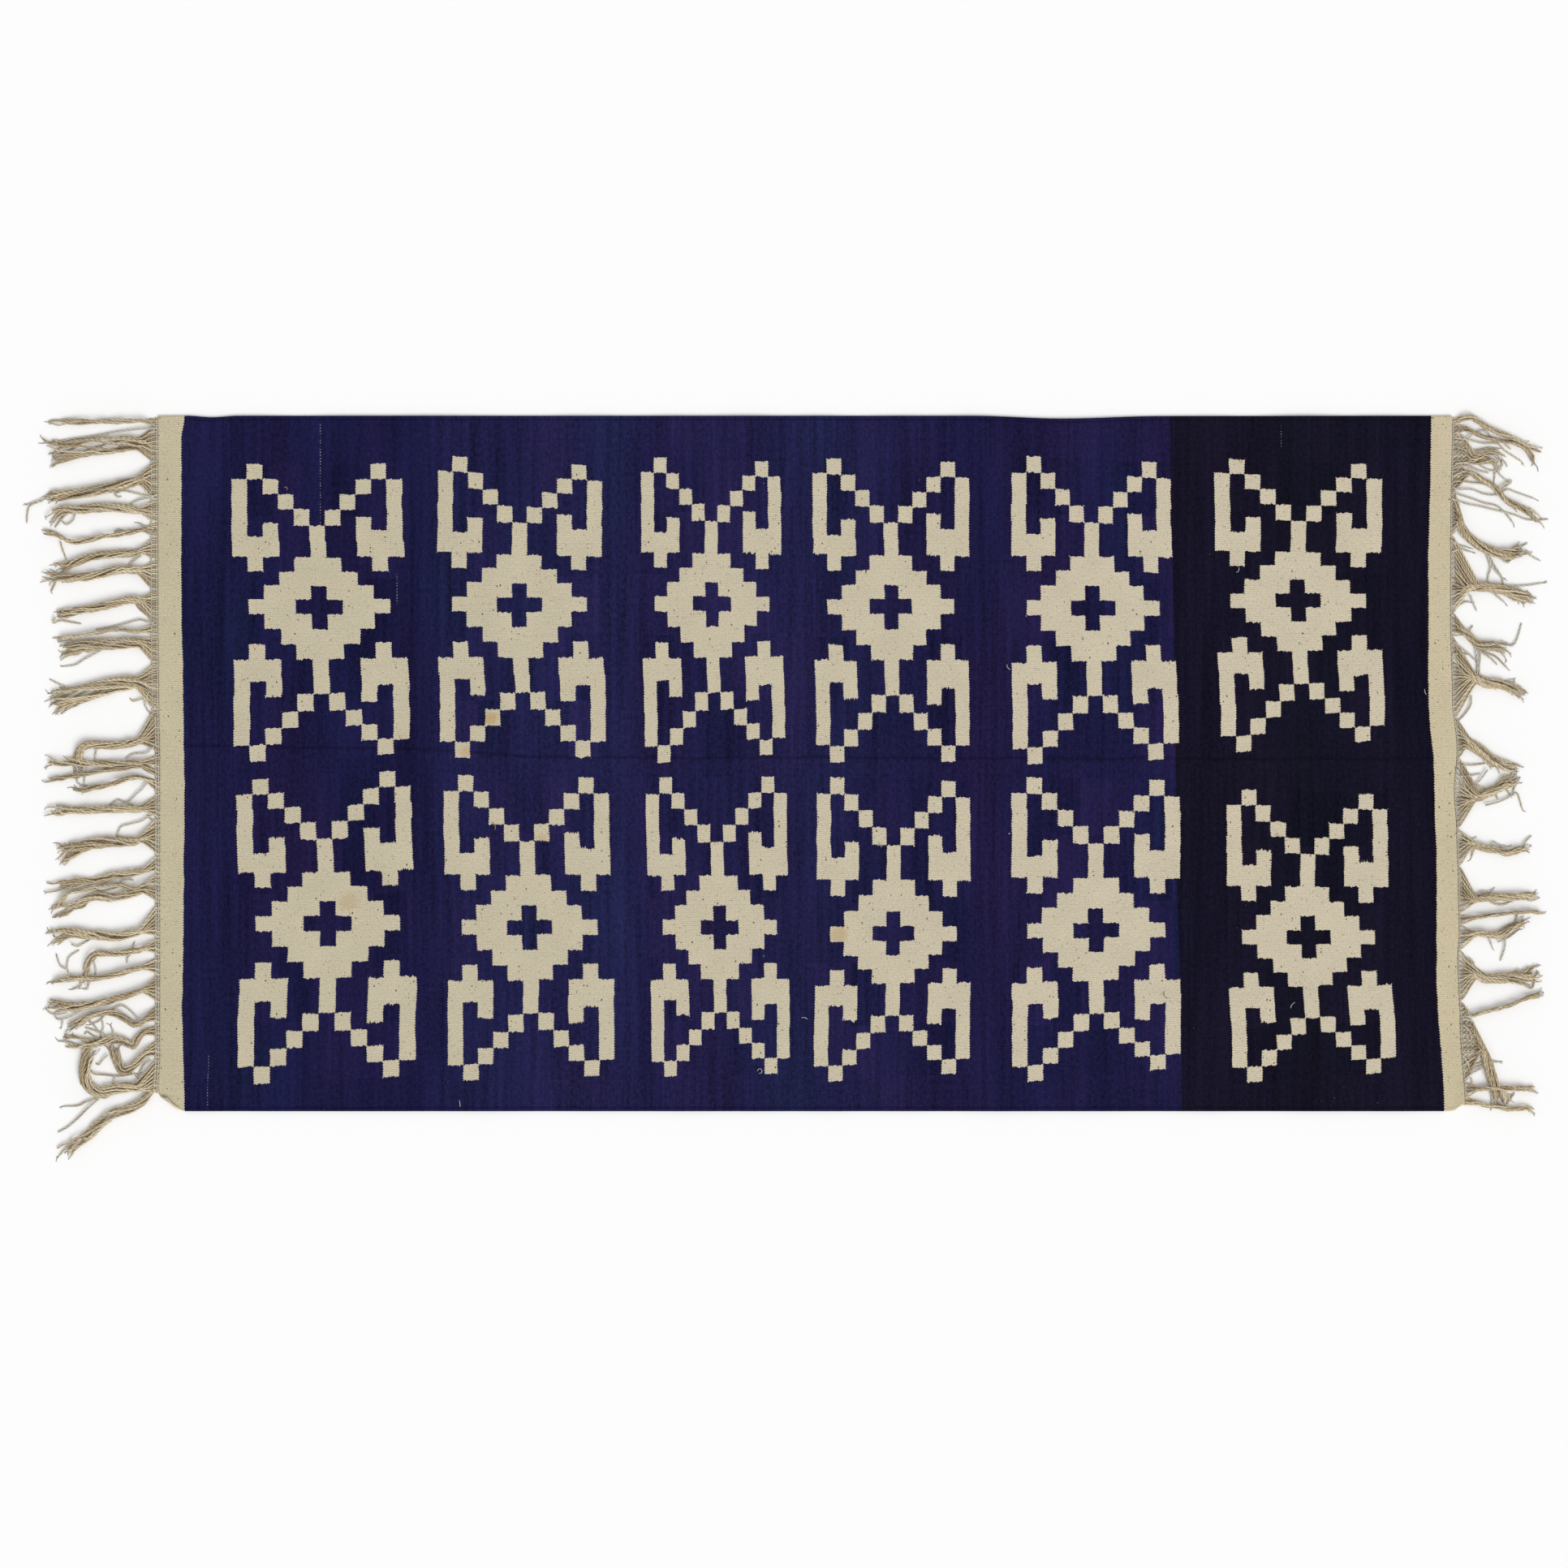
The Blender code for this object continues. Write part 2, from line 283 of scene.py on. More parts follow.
RIGHT_BUNDLES = [
    Bundle(4, 9, 6, [(-5, 452), (4, 455), (19, 456), (30, 450), (45, 441), (62, 433), (81, 425), (103, 413),
        (114, 410)]),
    Bundle(6, 6, 4, [(-3, 442), (10, 443), (20, 437), (34, 431), (48, 427), (64, 424), (78, 421), (93, 412),
        (104, 394)]),
    Bundle(24, 17, 17, [(-4, 407), (19, 402), (34, 403), (48, 405), (60, 397)]),
    Bundle(15, 7, 9, [(-4, 381), (14, 384), (34, 373), (48, 366), (56, 358), (67, 345), (87, 336),
        (103, 326), (114, 315)]),
    Bundle(13, 11, 13, [(-5, 338), (0, 331), (5, 314), (15, 299), (28, 288), (40, 282), (56, 277),
        (75, 277), (91, 284)]),
    Bundle(26, 13, 11, [(-8, 234), (6, 232), (16, 233), (34, 233), (50, 231), (68, 227), (81, 221),
        (99, 217)]),
    Bundle(11, 12, 11, [(-6, 185), (6, 176), (18, 167), (26, 158), (38, 155), (56, 154), (73, 149)]),
    Bundle(36, 17, 9, [(-4, 119), (12, 115), (29, 110), (41, 105), (54, 105), (68, 101), (79, 96),
        (89, 90)]),
    Bundle(13, 19, 9, [(-4, 38), (6, 33), (20, 24), (34, 15), (48, 4), (64, -3), (84, -9)]),
    Bundle(28, 15, 9, [(0, -53), (12, -47), (28, -44), (41, -39), (54, -33), (68, -25), (81, -21)]),
    Bundle(17, 12, 6, [(0, -106), (7, -103), (25, -109), (41, -113), (56, -115), (65, -118), (80, -115),
        (95, -110)]),
    Bundle(24, 10, 10, [(4, -170), (11, -174), (19, -179), (34, -177), (48, -176), (68, -176), (89, -175),
        (106, -174)]),
    Bundle(5, 5, 4, [(4, -205), (19, -204), (34, -202), (54, -199), (82, -196), (103, -196), (118, -197)]),
    Bundle(15, 11, 6, [(4, -226), (14, -225), (34, -224), (48, -226), (62, -224), (77, -215), (94, -206)]),
    Bundle(30, 10, 17, [(4, -281), (20, -277), (37, -283), (54, -283), (75, -282), (92, -282),
        (111, -274)]),
    Bundle(9, 5, 5, [(5, -324), (19, -333), (34, -328), (54, -323), (75, -317), (95, -308), (119, -303)]),
    Bundle(43, 12, 13, [(7, -374), (22, -374), (34, -379), (42, -397), (47, -416), (56, -436), (63, -449)]),
    Bundle(11, 6, 7, [(10, -432), (22, -430), (38, -428), (60, -428), (81, -428), (108, -429)]),
    Bundle(4, 6, 7, [(11, -444), (19, -445), (38, -450), (71, -455), (92, -455), (103, -459), (111, -462)]),
]

# Rows of twining across the warps: their distance beyond the web, and where they start and end
Twines = namedtuple("Twines", "out low high")
LEFT_TWINES = [Twines(1.6, -430, 454), Twines(8.8, 66, 454), Twines(5.0, -425, 64)]
RIGHT_TWINES = [Twines(1.2, -440, 452)]

# Loose ends of yarn on the web: where each starts, the way it runs in degrees, its length and how
# far it turns along the way. The dark ones are navy yarn.
LooseEnd = namedtuple("LooseEnd", "along across heading length turn dark")
LOOSE_ENDS = [
    LooseEnd(348, 268, 100, 8, 60, False),
    LooseEnd(267, 124, 160, 9, -90, False),
    LooseEnd(565, 252, 20, 9, 120, False),
    LooseEnd(-412, -87, 70, 12, 100, True),
    LooseEnd(-64, -408, 0, 16, 300, False),
    LooseEnd(-458, -452, 80, 9, 40, False),
    LooseEnd(815, 91, 130, 8, -60, False),
    LooseEnd(-674, 322, 30, 7, 90, False),
    LooseEnd(642, -315, 200, 10, 80, False),
    LooseEnd(-686, 361, 60, 7, 200, True),
    LooseEnd(470, -300, 250, 13, 110, True),
    LooseEnd(-524, 102, 240, 8, 50, False),
    LooseEnd(97, -110, 90, 8, 70, False),
    LooseEnd(-8, -335, 20, 9, -80, False),
    LooseEnd(617, -92, 300, 9, 60, False),
]

# Single cords that leave their tassels, routed the same way
LEFT_STRAYS = [
    [(1, 442), (28, 440), (53, 437), (83, 432), (113, 428), (152, 422)],
    [(5, 440), (16, 433), (23, 426), (29, 416)],
    [(132, 352), (151, 348), (154, 346), (169, 340), (173, 330), (174, 317)],
    [(145, 350), (158, 346), (172, 342)],
    [(1, 354), (14, 352), (31, 356), (46, 359), (53, 357), (58, 354), (53, 351), (49, 352)],
    [(6, 351), (23, 348), (34, 344), (46, 337)],
    [(113, 337), (110, 329), (113, 320), (122, 315), (128, 321), (125, 327), (115, 330)],
    [(126, 336), (135, 326), (144, 317)],
    [(118, 331), (128, 322), (137, 311)],
    [(6, 309), (16, 312), (27, 317)],
    [(49, 305), (56, 303), (58, 306), (52, 309), (47, 307)],
    [(129, 292), (128, 287), (126, 280), (122, 269)],
    [(23, 274), (38, 263), (49, 254)],
    [(133, 244), (137, 236), (142, 227)],
    [(4, 188), (16, 196), (26, 204), (32, 214)],
    [(136, 193), (139, 185), (129, 188), (115, 186), (102, 184)],
    [(6, 185), (16, 187), (26, 189), (46, 184), (65, 180), (83, 177)],
    [(68, 153), (83, 145), (98, 137), (110, 130), (124, 128)],
    [(103, 159), (115, 161), (133, 160)],
    [(98, 151), (107, 143), (118, 145), (111, 153), (96, 147)],
    [(107, 98), (115, 99), (128, 103), (144, 111)],
    [(115, 94), (129, 92), (144, 92)],
    [(60, 95), (76, 89), (106, 78), (117, 73), (129, 65)],
    [(13, 95), (17, 84), (18, 77), (13, 68), (5, 61)],
    [(17, 85), (25, 84), (34, 82), (38, 86)],
    [(11, 81), (6, 76), (1, 73)],
    [(106, 6), (109, -3), (104, -11), (98, -18), (99, -27)],
    [(83, 25), (82, 17), (84, 7), (81, -1)],
    [(96, 1), (94, -10), (102, -16), (108, -22), (104, -28), (94, -29)],
    [(6, 22), (16, 14), (27, 13), (35, 12), (44, 7)],
    [(16, -26), (21, -33), (29, -40), (35, -46), (43, -51), (53, -48), (60, -51), (66, -55)],
    [(5, -15), (16, -10), (25, -3)],
    [(43, -51), (34, -55), (28, -58)],
    [(6, -67), (13, -70), (23, -76), (38, -80), (49, -83), (54, -91), (57, -100)],
    [(6, -77), (11, -73), (15, -68)],
    [(122, -114), (127, -108), (135, -105)],
    [(113, -110), (118, -106), (118, -103)],
    [(33, -154), (38, -153), (49, -155), (53, -163), (68, -167), (77, -168)],
    [(115, -238), (107, -241), (99, -237), (92, -233)],
    [(37, -251), (41, -256), (42, -263)],
    [(37, -247), (35, -243), (34, -239)],
    [(89, -258), (85, -263), (83, -271), (84, -277)],
    [(98, -283), (92, -289), (94, -297), (99, -297)],
    [(105, -284), (102, -292), (109, -296), (115, -298)],
    [(113, -282), (120, -273), (120, -262), (117, -254), (105, -246)],
    [(121, -271), (129, -267), (133, -258), (135, -251)],
    [(27, -337), (32, -331), (41, -323), (50, -319), (61, -324), (71, -332), (78, -339), (89, -344)],
    [(99, -324), (107, -329), (120, -335), (133, -337), (137, -330), (126, -325), (111, -327)],
    [(120, -328), (133, -331), (143, -329), (149, -323)],
    [(126, -339), (128, -346)],
    [(98, -339), (111, -345), (120, -352), (124, -358)],
    [(74, -339), (73, -348), (77, -359)],
    [(92, -339), (83, -348), (77, -357)],
    [(62, -365), (73, -357), (85, -352), (97, -348)],
    [(63, -363), (60, -354), (63, -347)],
    [(68, -365), (83, -361), (94, -354), (98, -357)],
    [(92, -366), (111, -361), (126, -361)],
    [(81, -374), (103, -372), (120, -367), (132, -366)],
    [(98, -383), (98, -395), (96, -404), (102, -414), (102, -423), (94, -429), (85, -435)],
    [(67, -384), (74, -391), (79, -397), (83, -395)],
    [(90, -404), (85, -409), (73, -410), (53, -412), (38, -410), (28, -409)],
    [(31, -396), (35, -406), (30, -412)],
    [(57, -414), (60, -420), (63, -427)],
    [(73, -438), (83, -442), (96, -446), (107, -451), (125, -452)],
    [(79, -442), (94, -455), (107, -468), (120, -479), (133, -486)],
    [(10, -390), (19, -397), (28, -412)],
    [(111, -497), (122, -507), (132, -518)],
]
RIGHT_STRAYS = [
    [(-3, 429), (13, 427), (34, 422), (54, 421), (64, 412), (75, 405), (86, 398)],
    [(-2, 418), (16, 412), (28, 413), (43, 416), (56, 415)],
    [(-2, 395), (19, 398), (28, 405), (48, 406), (59, 401), (60, 392), (53, 386), (45, 386), (34, 391),
        (26, 396), (15, 397)],
    [(-4, 389), (13, 392), (30, 386), (43, 383)],
    [(-4, 379), (14, 385), (34, 373), (48, 366), (56, 358), (67, 345), (87, 337), (103, 326), (114, 314)],
    [(-5, 371), (4, 372), (19, 370), (36, 368), (50, 361)],
    [(-5, 364), (3, 361), (20, 361), (37, 355), (54, 354), (67, 361), (80, 357), (103, 349)],
    [(-6, 358), (4, 354), (20, 349), (37, 343), (54, 339), (67, 327), (75, 317)],
    [(-6, 350), (-4, 348), (14, 342), (34, 338), (50, 334), (75, 328), (95, 321), (121, 322)],
    [(53, 385), (61, 377), (69, 372)],
    [(56, 360), (62, 367), (73, 373), (68, 367), (58, 361)],
    [(56, 401), (53, 392), (51, 382), (50, 373)],
    [(60, 400), (65, 396), (67, 391)],
    [(88, 416), (95, 407), (99, 399), (106, 392)],
    [(62, 424), (67, 418), (72, 414)],
    [(15, 428), (22, 434), (31, 438), (38, 438), (45, 432), (48, 428)],
    [(79, 281), (88, 279), (101, 272), (111, 267)],
    [(60, 279), (73, 283), (83, 285), (94, 291)],
    [(37, 283), (42, 270), (45, 258), (42, 247), (41, 238)],
    [(40, 279), (46, 263), (54, 251), (61, 245)],
    [(42, 276), (50, 261), (59, 247), (62, 237)],
    [(52, 276), (61, 268), (68, 265), (74, 273), (67, 278)],
    [(56, 275), (64, 266), (72, 268)],
    [(-8, 295), (2, 288), (15, 285)],
    [(-6, 279), (6, 282), (19, 279)],
    [(34, 234), (50, 236), (75, 234), (95, 235), (114, 238)],
    [(77, 234), (83, 230), (89, 226)],
    [(54, 229), (64, 222), (75, 215), (79, 214)],
    [(43, 229), (54, 220), (64, 212)],
    [(18, 222), (22, 212), (27, 201)],
    [(-5, 198), (3, 208), (13, 213), (20, 212)],
    [(16, 171), (18, 176), (22, 182)],
    [(56, 157), (62, 160), (71, 155), (77, 158), (82, 170), (86, 185)],
    [(27, 151), (37, 144), (46, 138), (54, 130)],
    [(34, 147), (51, 141), (61, 132), (67, 126)],
    [(58, 152), (62, 143), (65, 139)],
    [(25, 154), (27, 140), (28, 126), (27, 113), (29, 104)],
    [(30, 154), (31, 140), (30, 126), (31, 112), (36, 101)],
    [(-4, 161), (8, 151), (19, 142), (26, 135)],
    [(-5, 145), (6, 144), (19, 144)],
    [(-4, 132), (8, 123), (19, 116), (28, 108)],
    [(29, 104), (44, 109), (60, 108), (74, 111)],
    [(61, 101), (75, 99), (83, 92), (90, 90)],
    [(19, 90), (19, 78), (11, 65), (-1, 53)],
    [(41, -8), (34, -18), (27, -26), (18, -32), (7, -39), (2, -46)],
    [(7, -2), (22, -2), (38, 0)],
    [(3, -17), (19, -16), (32, -13)],
    [(26, -29), (35, -32), (47, -36)],
    [(38, -55), (54, -51), (66, -46), (79, -39), (83, -46), (87, -60)],
    [(54, -47), (52, -38), (60, -31), (68, -37), (71, -42)],
    [(75, -42), (76, -32)],
    [(67, -22), (74, -14), (77, -9)],
    [(75, -24), (84, -26)],
    [(88, -109), (92, -102), (99, -95)],
    [(45, -111), (49, -104), (58, -108), (68, -109)],
    [(25, -109), (22, -117), (20, -124)],
    [(18, -102), (23, -98)],
    [(25, -175), (34, -169), (43, -169), (49, -165)],
    [(41, -180), (50, -185), (62, -186), (72, -182)],
    [(86, -174), (94, -179), (102, -180), (109, -177)],
    [(78, -195), (80, -202), (76, -210)],
    [(40, -225), (45, -235), (47, -241)],
    [(64, -228), (64, -241), (61, -252), (58, -260)],
    [(49, -226), (60, -218), (73, -211), (83, -209)],
    [(54, -235), (67, -230), (81, -220)],
    [(18, -260), (23, -267), (30, -272), (41, -281)],
    [(17, -257), (23, -262), (23, -271)],
    [(75, -281), (88, -273), (96, -269), (106, -268)],
    [(73, -286), (87, -291), (99, -296), (103, -286), (101, -281)],
    [(7, -336), (20, -339), (25, -350), (27, -365)],
    [(8, -344), (17, -352), (21, -365), (30, -374)],
    [(10, -397), (19, -390), (30, -384), (36, -393), (33, -399), (22, -401), (13, -406)],
    [(22, -388), (32, -382), (36, -389), (30, -396), (21, -393)],
    [(11, -416), (21, -408), (34, -401), (41, -395)],
    [(8, -384), (15, -395), (19, -408)],
    [(43, -391), (49, -393), (56, -393)],
    [(45, -432), (47, -440), (46, -453)],
    [(49, -434), (51, -444), (53, -453)],
    [(54, -432), (61, -442), (65, -450), (73, -440), (77, -434)],
    [(19, -414), (21, -421), (15, -428)],
]


def colour(red, green, blue):
    """A display colour, 0 to 255 for each channel, as linear light."""
    shares = [channel / 255 for channel in (red, green, blue)]
    linear = [s / 12.92 if s <= 0.04045 else ((s + 0.055) / 1.055) ** 2.4 for s in shares]
    return (*linear, 1.0)


# ---------------------------------------------------------------------------------------------
# Shader graphs


class Term:
    """A number in a shader graph. Arithmetic on it adds Math nodes."""

    def __init__(self, graph, socket):
        self.graph = graph
        self.socket = socket

    def __add__(self, other):
        return self.graph.math("ADD", self, other)

    def __sub__(self, other):
        return self.graph.math("SUBTRACT", self, other)

    def __rsub__(self, other):
        return self.graph.math("SUBTRACT", other, self)

    def __mul__(self, other):
        return self.graph.math("MULTIPLY", self, other)

    def __truediv__(self, other):
        return self.graph.math("DIVIDE", self, other)

    def __lt__(self, other):
        return self.graph.math("LESS_THAN", self, other)

    def __gt__(self, other):
        return self.graph.math("GREATER_THAN", self, other)

    def __and__(self, other):
        return self.graph.math("MULTIPLY", self, other)

    def __or__(self, other):
        return self.graph.math("MAXIMUM", self, other)

    def __invert__(self):
        return self.graph.math("SUBTRACT", 1.0, self)

    __radd__ = __add__
    __rmul__ = __mul__

    def size(self):
        return self.graph.math("ABSOLUTE", self)

    def whole(self):
        """The nearest whole number."""
        return self.graph.math("FLOOR", self + 0.5)

    def fold(self, width):
        """A zigzag between 0 and 1, which turns at every multiple of width."""
        return self.graph.math("PINGPONG", self, width) / width

    def near(self, value):
        """1 where this is within a half of the value."""
        return self.graph.math("COMPARE", self, value, 0.5)

    def clear(self, low, high):
        """0 below low, 1 above high, and a soft step between."""
        node = self.graph.add("ShaderNodeMapRange", interpolation_type="SMOOTHSTEP")
        node.inputs["From Min"].default_value = low
        node.inputs["From Max"].default_value = high
        self.graph.join(self, node.inputs["Value"])
        return Term(self.graph, node.outputs["Result"])


class Graph:
    """One material, with short calls that add nodes to it."""

    def __init__(self, name):
        self.material = bpy.data.materials.new(name)
        self.material.use_nodes = True
        self.tree = self.material.node_tree
        self.shader = self.tree.nodes["Principled BSDF"]

    def add(self, kind, **settings):
        node = self.tree.nodes.new(kind)
        for name, value in settings.items():
            setattr(node, name, value)
        return node

    def join(self, value, socket):
        if isinstance(value, Term):
            self.tree.links.new(value.socket, socket)
        else:
            socket.default_value = value

    def math(self, operation, *values):
        node = self.add("ShaderNodeMath", operation=operation)
        for value, socket in zip(values, node.inputs):
            self.join(value, socket)
        return Term(self, node.outputs[0])

    def attribute(self, name):
        """The three numbers of a vector attribute."""
        node = self.add("ShaderNodeAttribute", attribute_name=name)
        parts = self.add("ShaderNodeSeparateXYZ")
        self.tree.links.new(node.outputs["Vector"], parts.inputs[0])
        return [Term(self, socket) for socket in parts.outputs]

    def vector(self, x, y, z=0.0):
        node = self.add("ShaderNodeCombineXYZ")
        for value, socket in zip((x, y, z), node.inputs):
            self.join(value, socket)
        return Term(self, node.outputs[0])

    def noise(self, place, scale, detail=2.0, roughness=0.5):
        """Soft noise, mostly between 0.25 and 0.75."""
        node = self.add("ShaderNodeTexNoise")
        self.join(place, node.inputs["Vector"])
        node.inputs["Scale"].default_value = scale
        node.inputs["Detail"].default_value = detail
        node.inputs["Roughness"].default_value = roughness
        return Term(self, node.outputs["Fac"])

    def chance(self, place):
        """A number from 0 to 1 that is new at every place."""
        node = self.add("ShaderNodeTexWhiteNoise", noise_dimensions="3D")
        self.join(place, node.inputs["Vector"])
        return Term(self, node.outputs["Value"])

    def spots(self, place, scale, share, radius):
        """1 inside small spots, one in some share of the cells that the scale gives."""
        cells = self.add("ShaderNodeTexVoronoi")
        self.join(place, cells.inputs["Vector"])
        cells.inputs["Scale"].default_value = scale
        parts = self.add("ShaderNodeSeparateColor")
        self.tree.links.new(cells.outputs["Color"], parts.inputs[0])
        chosen = Term(self, parts.outputs[0]) < share
        reach = Term(self, parts.outputs[1]) * radius + radius * 0.4
        return (Term(self, cells.outputs["Distance"]) < reach) & chosen

    def mix(self, amount, first, second):
        node = self.add("ShaderNodeMix", data_type="RGBA")
        self.join(amount, node.inputs[0])
        self.join(first, node.inputs[6])
        self.join(second, node.inputs[7])
        return Term(self, node.outputs[2])

    def tint(self, shade, amount):
        """The colour with its brightness multiplied by a number."""
        node = self.add("ShaderNodeMix", data_type="RGBA", blend_type="MULTIPLY")
        node.inputs[0].default_value = 1.0
        self.join(shade, node.inputs[6])
        grey = self.add("ShaderNodeCombineColor")
        for socket in grey.inputs[:3]:
            self.join(amount, socket)
        self.tree.links.new(grey.outputs[0], node.inputs[7])
        return Term(self, node.outputs[2])

    def turn_hue(self, shade, hue):
        """The colour with its hue turned, 0.5 being no turn."""
        node = self.add("ShaderNodeHueSaturation")
        self.join(shade, node.inputs["Color"])
        self.join(hue, node.inputs["Hue"])
        return Term(self, node.outputs[0])

    def ramp(self, value, stops):
        node = self.add("ShaderNodeValToRGB")
        self.join(value, node.inputs[0])
        points = node.color_ramp.elements
        while len(points) < len(stops):
            points.new(0.5)
        for point, (place, shade) in zip(points, stops):
            point.position = place
            point.color = shade
        return Term(self, node.outputs[0])

    def bump(self, height, distance):
        node = self.add("ShaderNodeBump")
        node.inputs["Distance"].default_value = distance
        self.join(height, node.inputs["Height"])
        self.tree.links.new(node.outputs[0], self.shader.inputs["Normal"])

    def finish(self, shade, roughness, specular, sheen):
        self.join(shade, self.shader.inputs["Base Color"])
        self.join(roughness, self.shader.inputs["Roughness"])
        self.shader.inputs["Specular IOR Level"].default_value = specular
        self.shader.inputs["Sheen Weight"].default_value = sheen
        self.shader.inputs["Sheen Roughness"].default_value = 0.6
        return self.material


# ---------------------------------------------------------------------------------------------
# The web's material

# The navy weft changes from one dye lot to the next along the rug
Lot = namedtuple("Lot", "along red green blue")
NAVY_LOTS = [
    Lot(-800, 26, 26, 65),
    Lot(-690, 26, 25, 64),
    Lot(-520, 25, 24, 62),
    Lot(-480, 29, 29, 69),
    Lot(-250, 33, 34, 75),
    Lot(-210, 31, 28, 68),
    Lot(0, 31, 31, 71),
    Lot(200, 29, 26, 65),
    Lot(470, 29, 27, 66),
]
DARK_LOTS = [
    Lot(480, 20, 18, 36),
    Lot(570, 22, 19, 38),
    Lot(640, 20, 19, 35),
    Lot(760, 21, 19, 37),
    Lot(830, 19, 17, 34),
]
MOTIF_CREAM = colour(203, 193, 168)
FAR_MOTIF_CREAM = colour(210, 199, 175)
LEFT_CREAM = colour(202, 192, 163)
RIGHT_CREAM = colour(210, 197, 166)
FLECK = colour(96, 76, 54)
LINT = colour(190, 190, 196)
STAIN = colour(190, 158, 104)
WORN = colour(74, 72, 100)

# Yellowed places: where, how wide and how strong
Stain = namedtuple("Stain", "along across reach strength")
STAINS = [
    Stain(-417, 59, 12, 0.7),
    Stain(-450, 14, 12, 0.45),
    Stain(43, -224, 16, 0.5),
    Stain(-605, -182, 20, 0.4),
    Stain(-350, -100, 14, 0.35),
    Stain(-185, -4, 10, 0.4),
    Stain(535, 110, 12, 0.3),
]

# Rows of light dots where a white warp shows between the weft
DOT_PITCH = 2.0 * MM
DOT_SIZE = 0.9 * MM
Dots = namedtuple("Dots", "along low high")
DOT_ROWS = [Dots(-642, 310, 448), Dots(-790, -458, -385), Dots(624, 415, 448), Dots(-541, 210, 250)]


def lots_ramp(graph, along, lots):
    low, high = lots[0].along, lots[-1].along
    share = (along / MM - low) / (high - low)
    stops = [((lot.along - low) / (high - low), colour(*lot[1:])) for lot in lots]
    return graph.ramp(share, stops)


def charted(across, up, hook_up):
    """1 where the motif's chart is cream. The places are in cells from its middle, and the hooks
    have rows of their own."""
    column = across.size().whole()
    row = up.size().whole()
    hook_row = hook_up.size().whole()
    ring = column + row
    diamond = (ring < 4.5) & (row < 3.5) & (ring > 1.5)
    neck = (row - 4.5).near(0.0) & column.near(0.0)
    chain = (row - column).near(5.0) & (row > 5.5) & (row < 9.5)
    bar = column.near(5.0) & (hook_row > 3.5) & (row < 8.5)
    base = hook_row.near(4.0) & (column > 2.5) & (column < 5.5)
    tip = hook_row.near(5.0) & column.near(3.0)
    tail = hook_row.near(3.0) & column.near(4.0)
    return diamond | neck | chain | bar | base | tip | tail


class Places:
    """Where the shaded point lies on the flat cloth, in metres, and in its pattern."""

    def __init__(self, graph):
        self.along, self.across, self.from_crease = graph.attribute("cloth")
        self.motif_across, self.motif_up, self.hook_up = graph.attribute("chart")
        self.motif, self.from_side, self.low_edge = graph.attribute("place")
        self.left, self.right, self.dark = graph.attribute("bands")
        self.wobble = graph.noise(graph.vector(self.along, self.across, 3.0), 55.0) - 0.5
        self.scallop = self.across.fold(RIB_PITCH) - 0.5
        self.edge = self.scallop * 1.6 + self.wobble * 3.0
        self.cloud = graph.noise(graph.vector(self.along, self.across), 22.0, 3.0)
        self.thread = graph.noise(graph.vector(self.along * 2.2, self.across), 900.0)


def pattern(graph, at):
    """1 where the weft is cream. The edges are scalloped across the ribs and ragged along them."""
    drift = graph.noise(graph.vector(at.along, at.across, 7.0), 55.0) - 0.5
    ragged = graph.noise(graph.vector(at.along, at.across * 0.2, 5.0), 230.0) - 0.5
    tooth = (at.along.fold(RIB_PITCH * 0.9) - 0.5) * 0.3 + ragged * 2.2
    row_shift = graph.chance(graph.vector(at.motif_up.whole(), at.motif, 1.0)) - 0.5
    column_shift = graph.chance(graph.vector(at.motif_across.whole(), at.motif, 2.0)) - 0.5
    across_change = (at.scallop * 1.3 + at.wobble * 3.0 + row_shift * 1.6) / CELL
    up_change = (tooth * 2.6 + drift * 3.0 + column_shift * 1.6) / CELL
    band = ((at.left + at.edge) > 0.0) | ((at.right + at.edge) > 0.0)
    return band | charted(
        at.motif_across + across_change, at.motif_up + up_change, at.hook_up + up_change
    )


def cream_yarn(graph, at):
    """Cream yarn with its brown flecks and yellow stains."""
    cream = graph.mix(at.along.clear(-0.7, 0.7), MOTIF_CREAM, FAR_MOTIF_CREAM)
    cream = graph.mix((at.left + at.edge) > 0.0, cream, LEFT_CREAM)
    cream = graph.mix((at.right + at.edge) > 0.0, cream, RIGHT_CREAM)
    coarse = graph.noise(graph.vector(at.along * 1.6, at.across, 13.0), 330.0)
    cream = graph.tint(cream, 0.42 + at.thread * 0.40 + coarse * 0.58 + at.cloud * 0.18)
    flecks = graph.spots(graph.vector(at.along, at.across * 0.75), 210.0, 0.16, 0.17)
    faint = graph.spots(graph.vector(at.along, at.across * 0.8, 4.0), 260.0, 0.4, 0.2)
    cream = graph.mix(faint * 0.4, cream, FLECK)
    cream = graph.mix(flecks * 0.9, cream, FLECK)
    for stain in STAINS:
        dx = at.along - stain.along * MM
        dy = at.across - stain.across * MM
        distance = graph.math("SQRT", dx * dx + dy * dy)
        reach = distance / (stain.reach * MM) + at.cloud - 0.5
        cream = graph.mix(~reach.clear(0.3, 1.0) * stain.strength, cream, STAIN)
    return cream


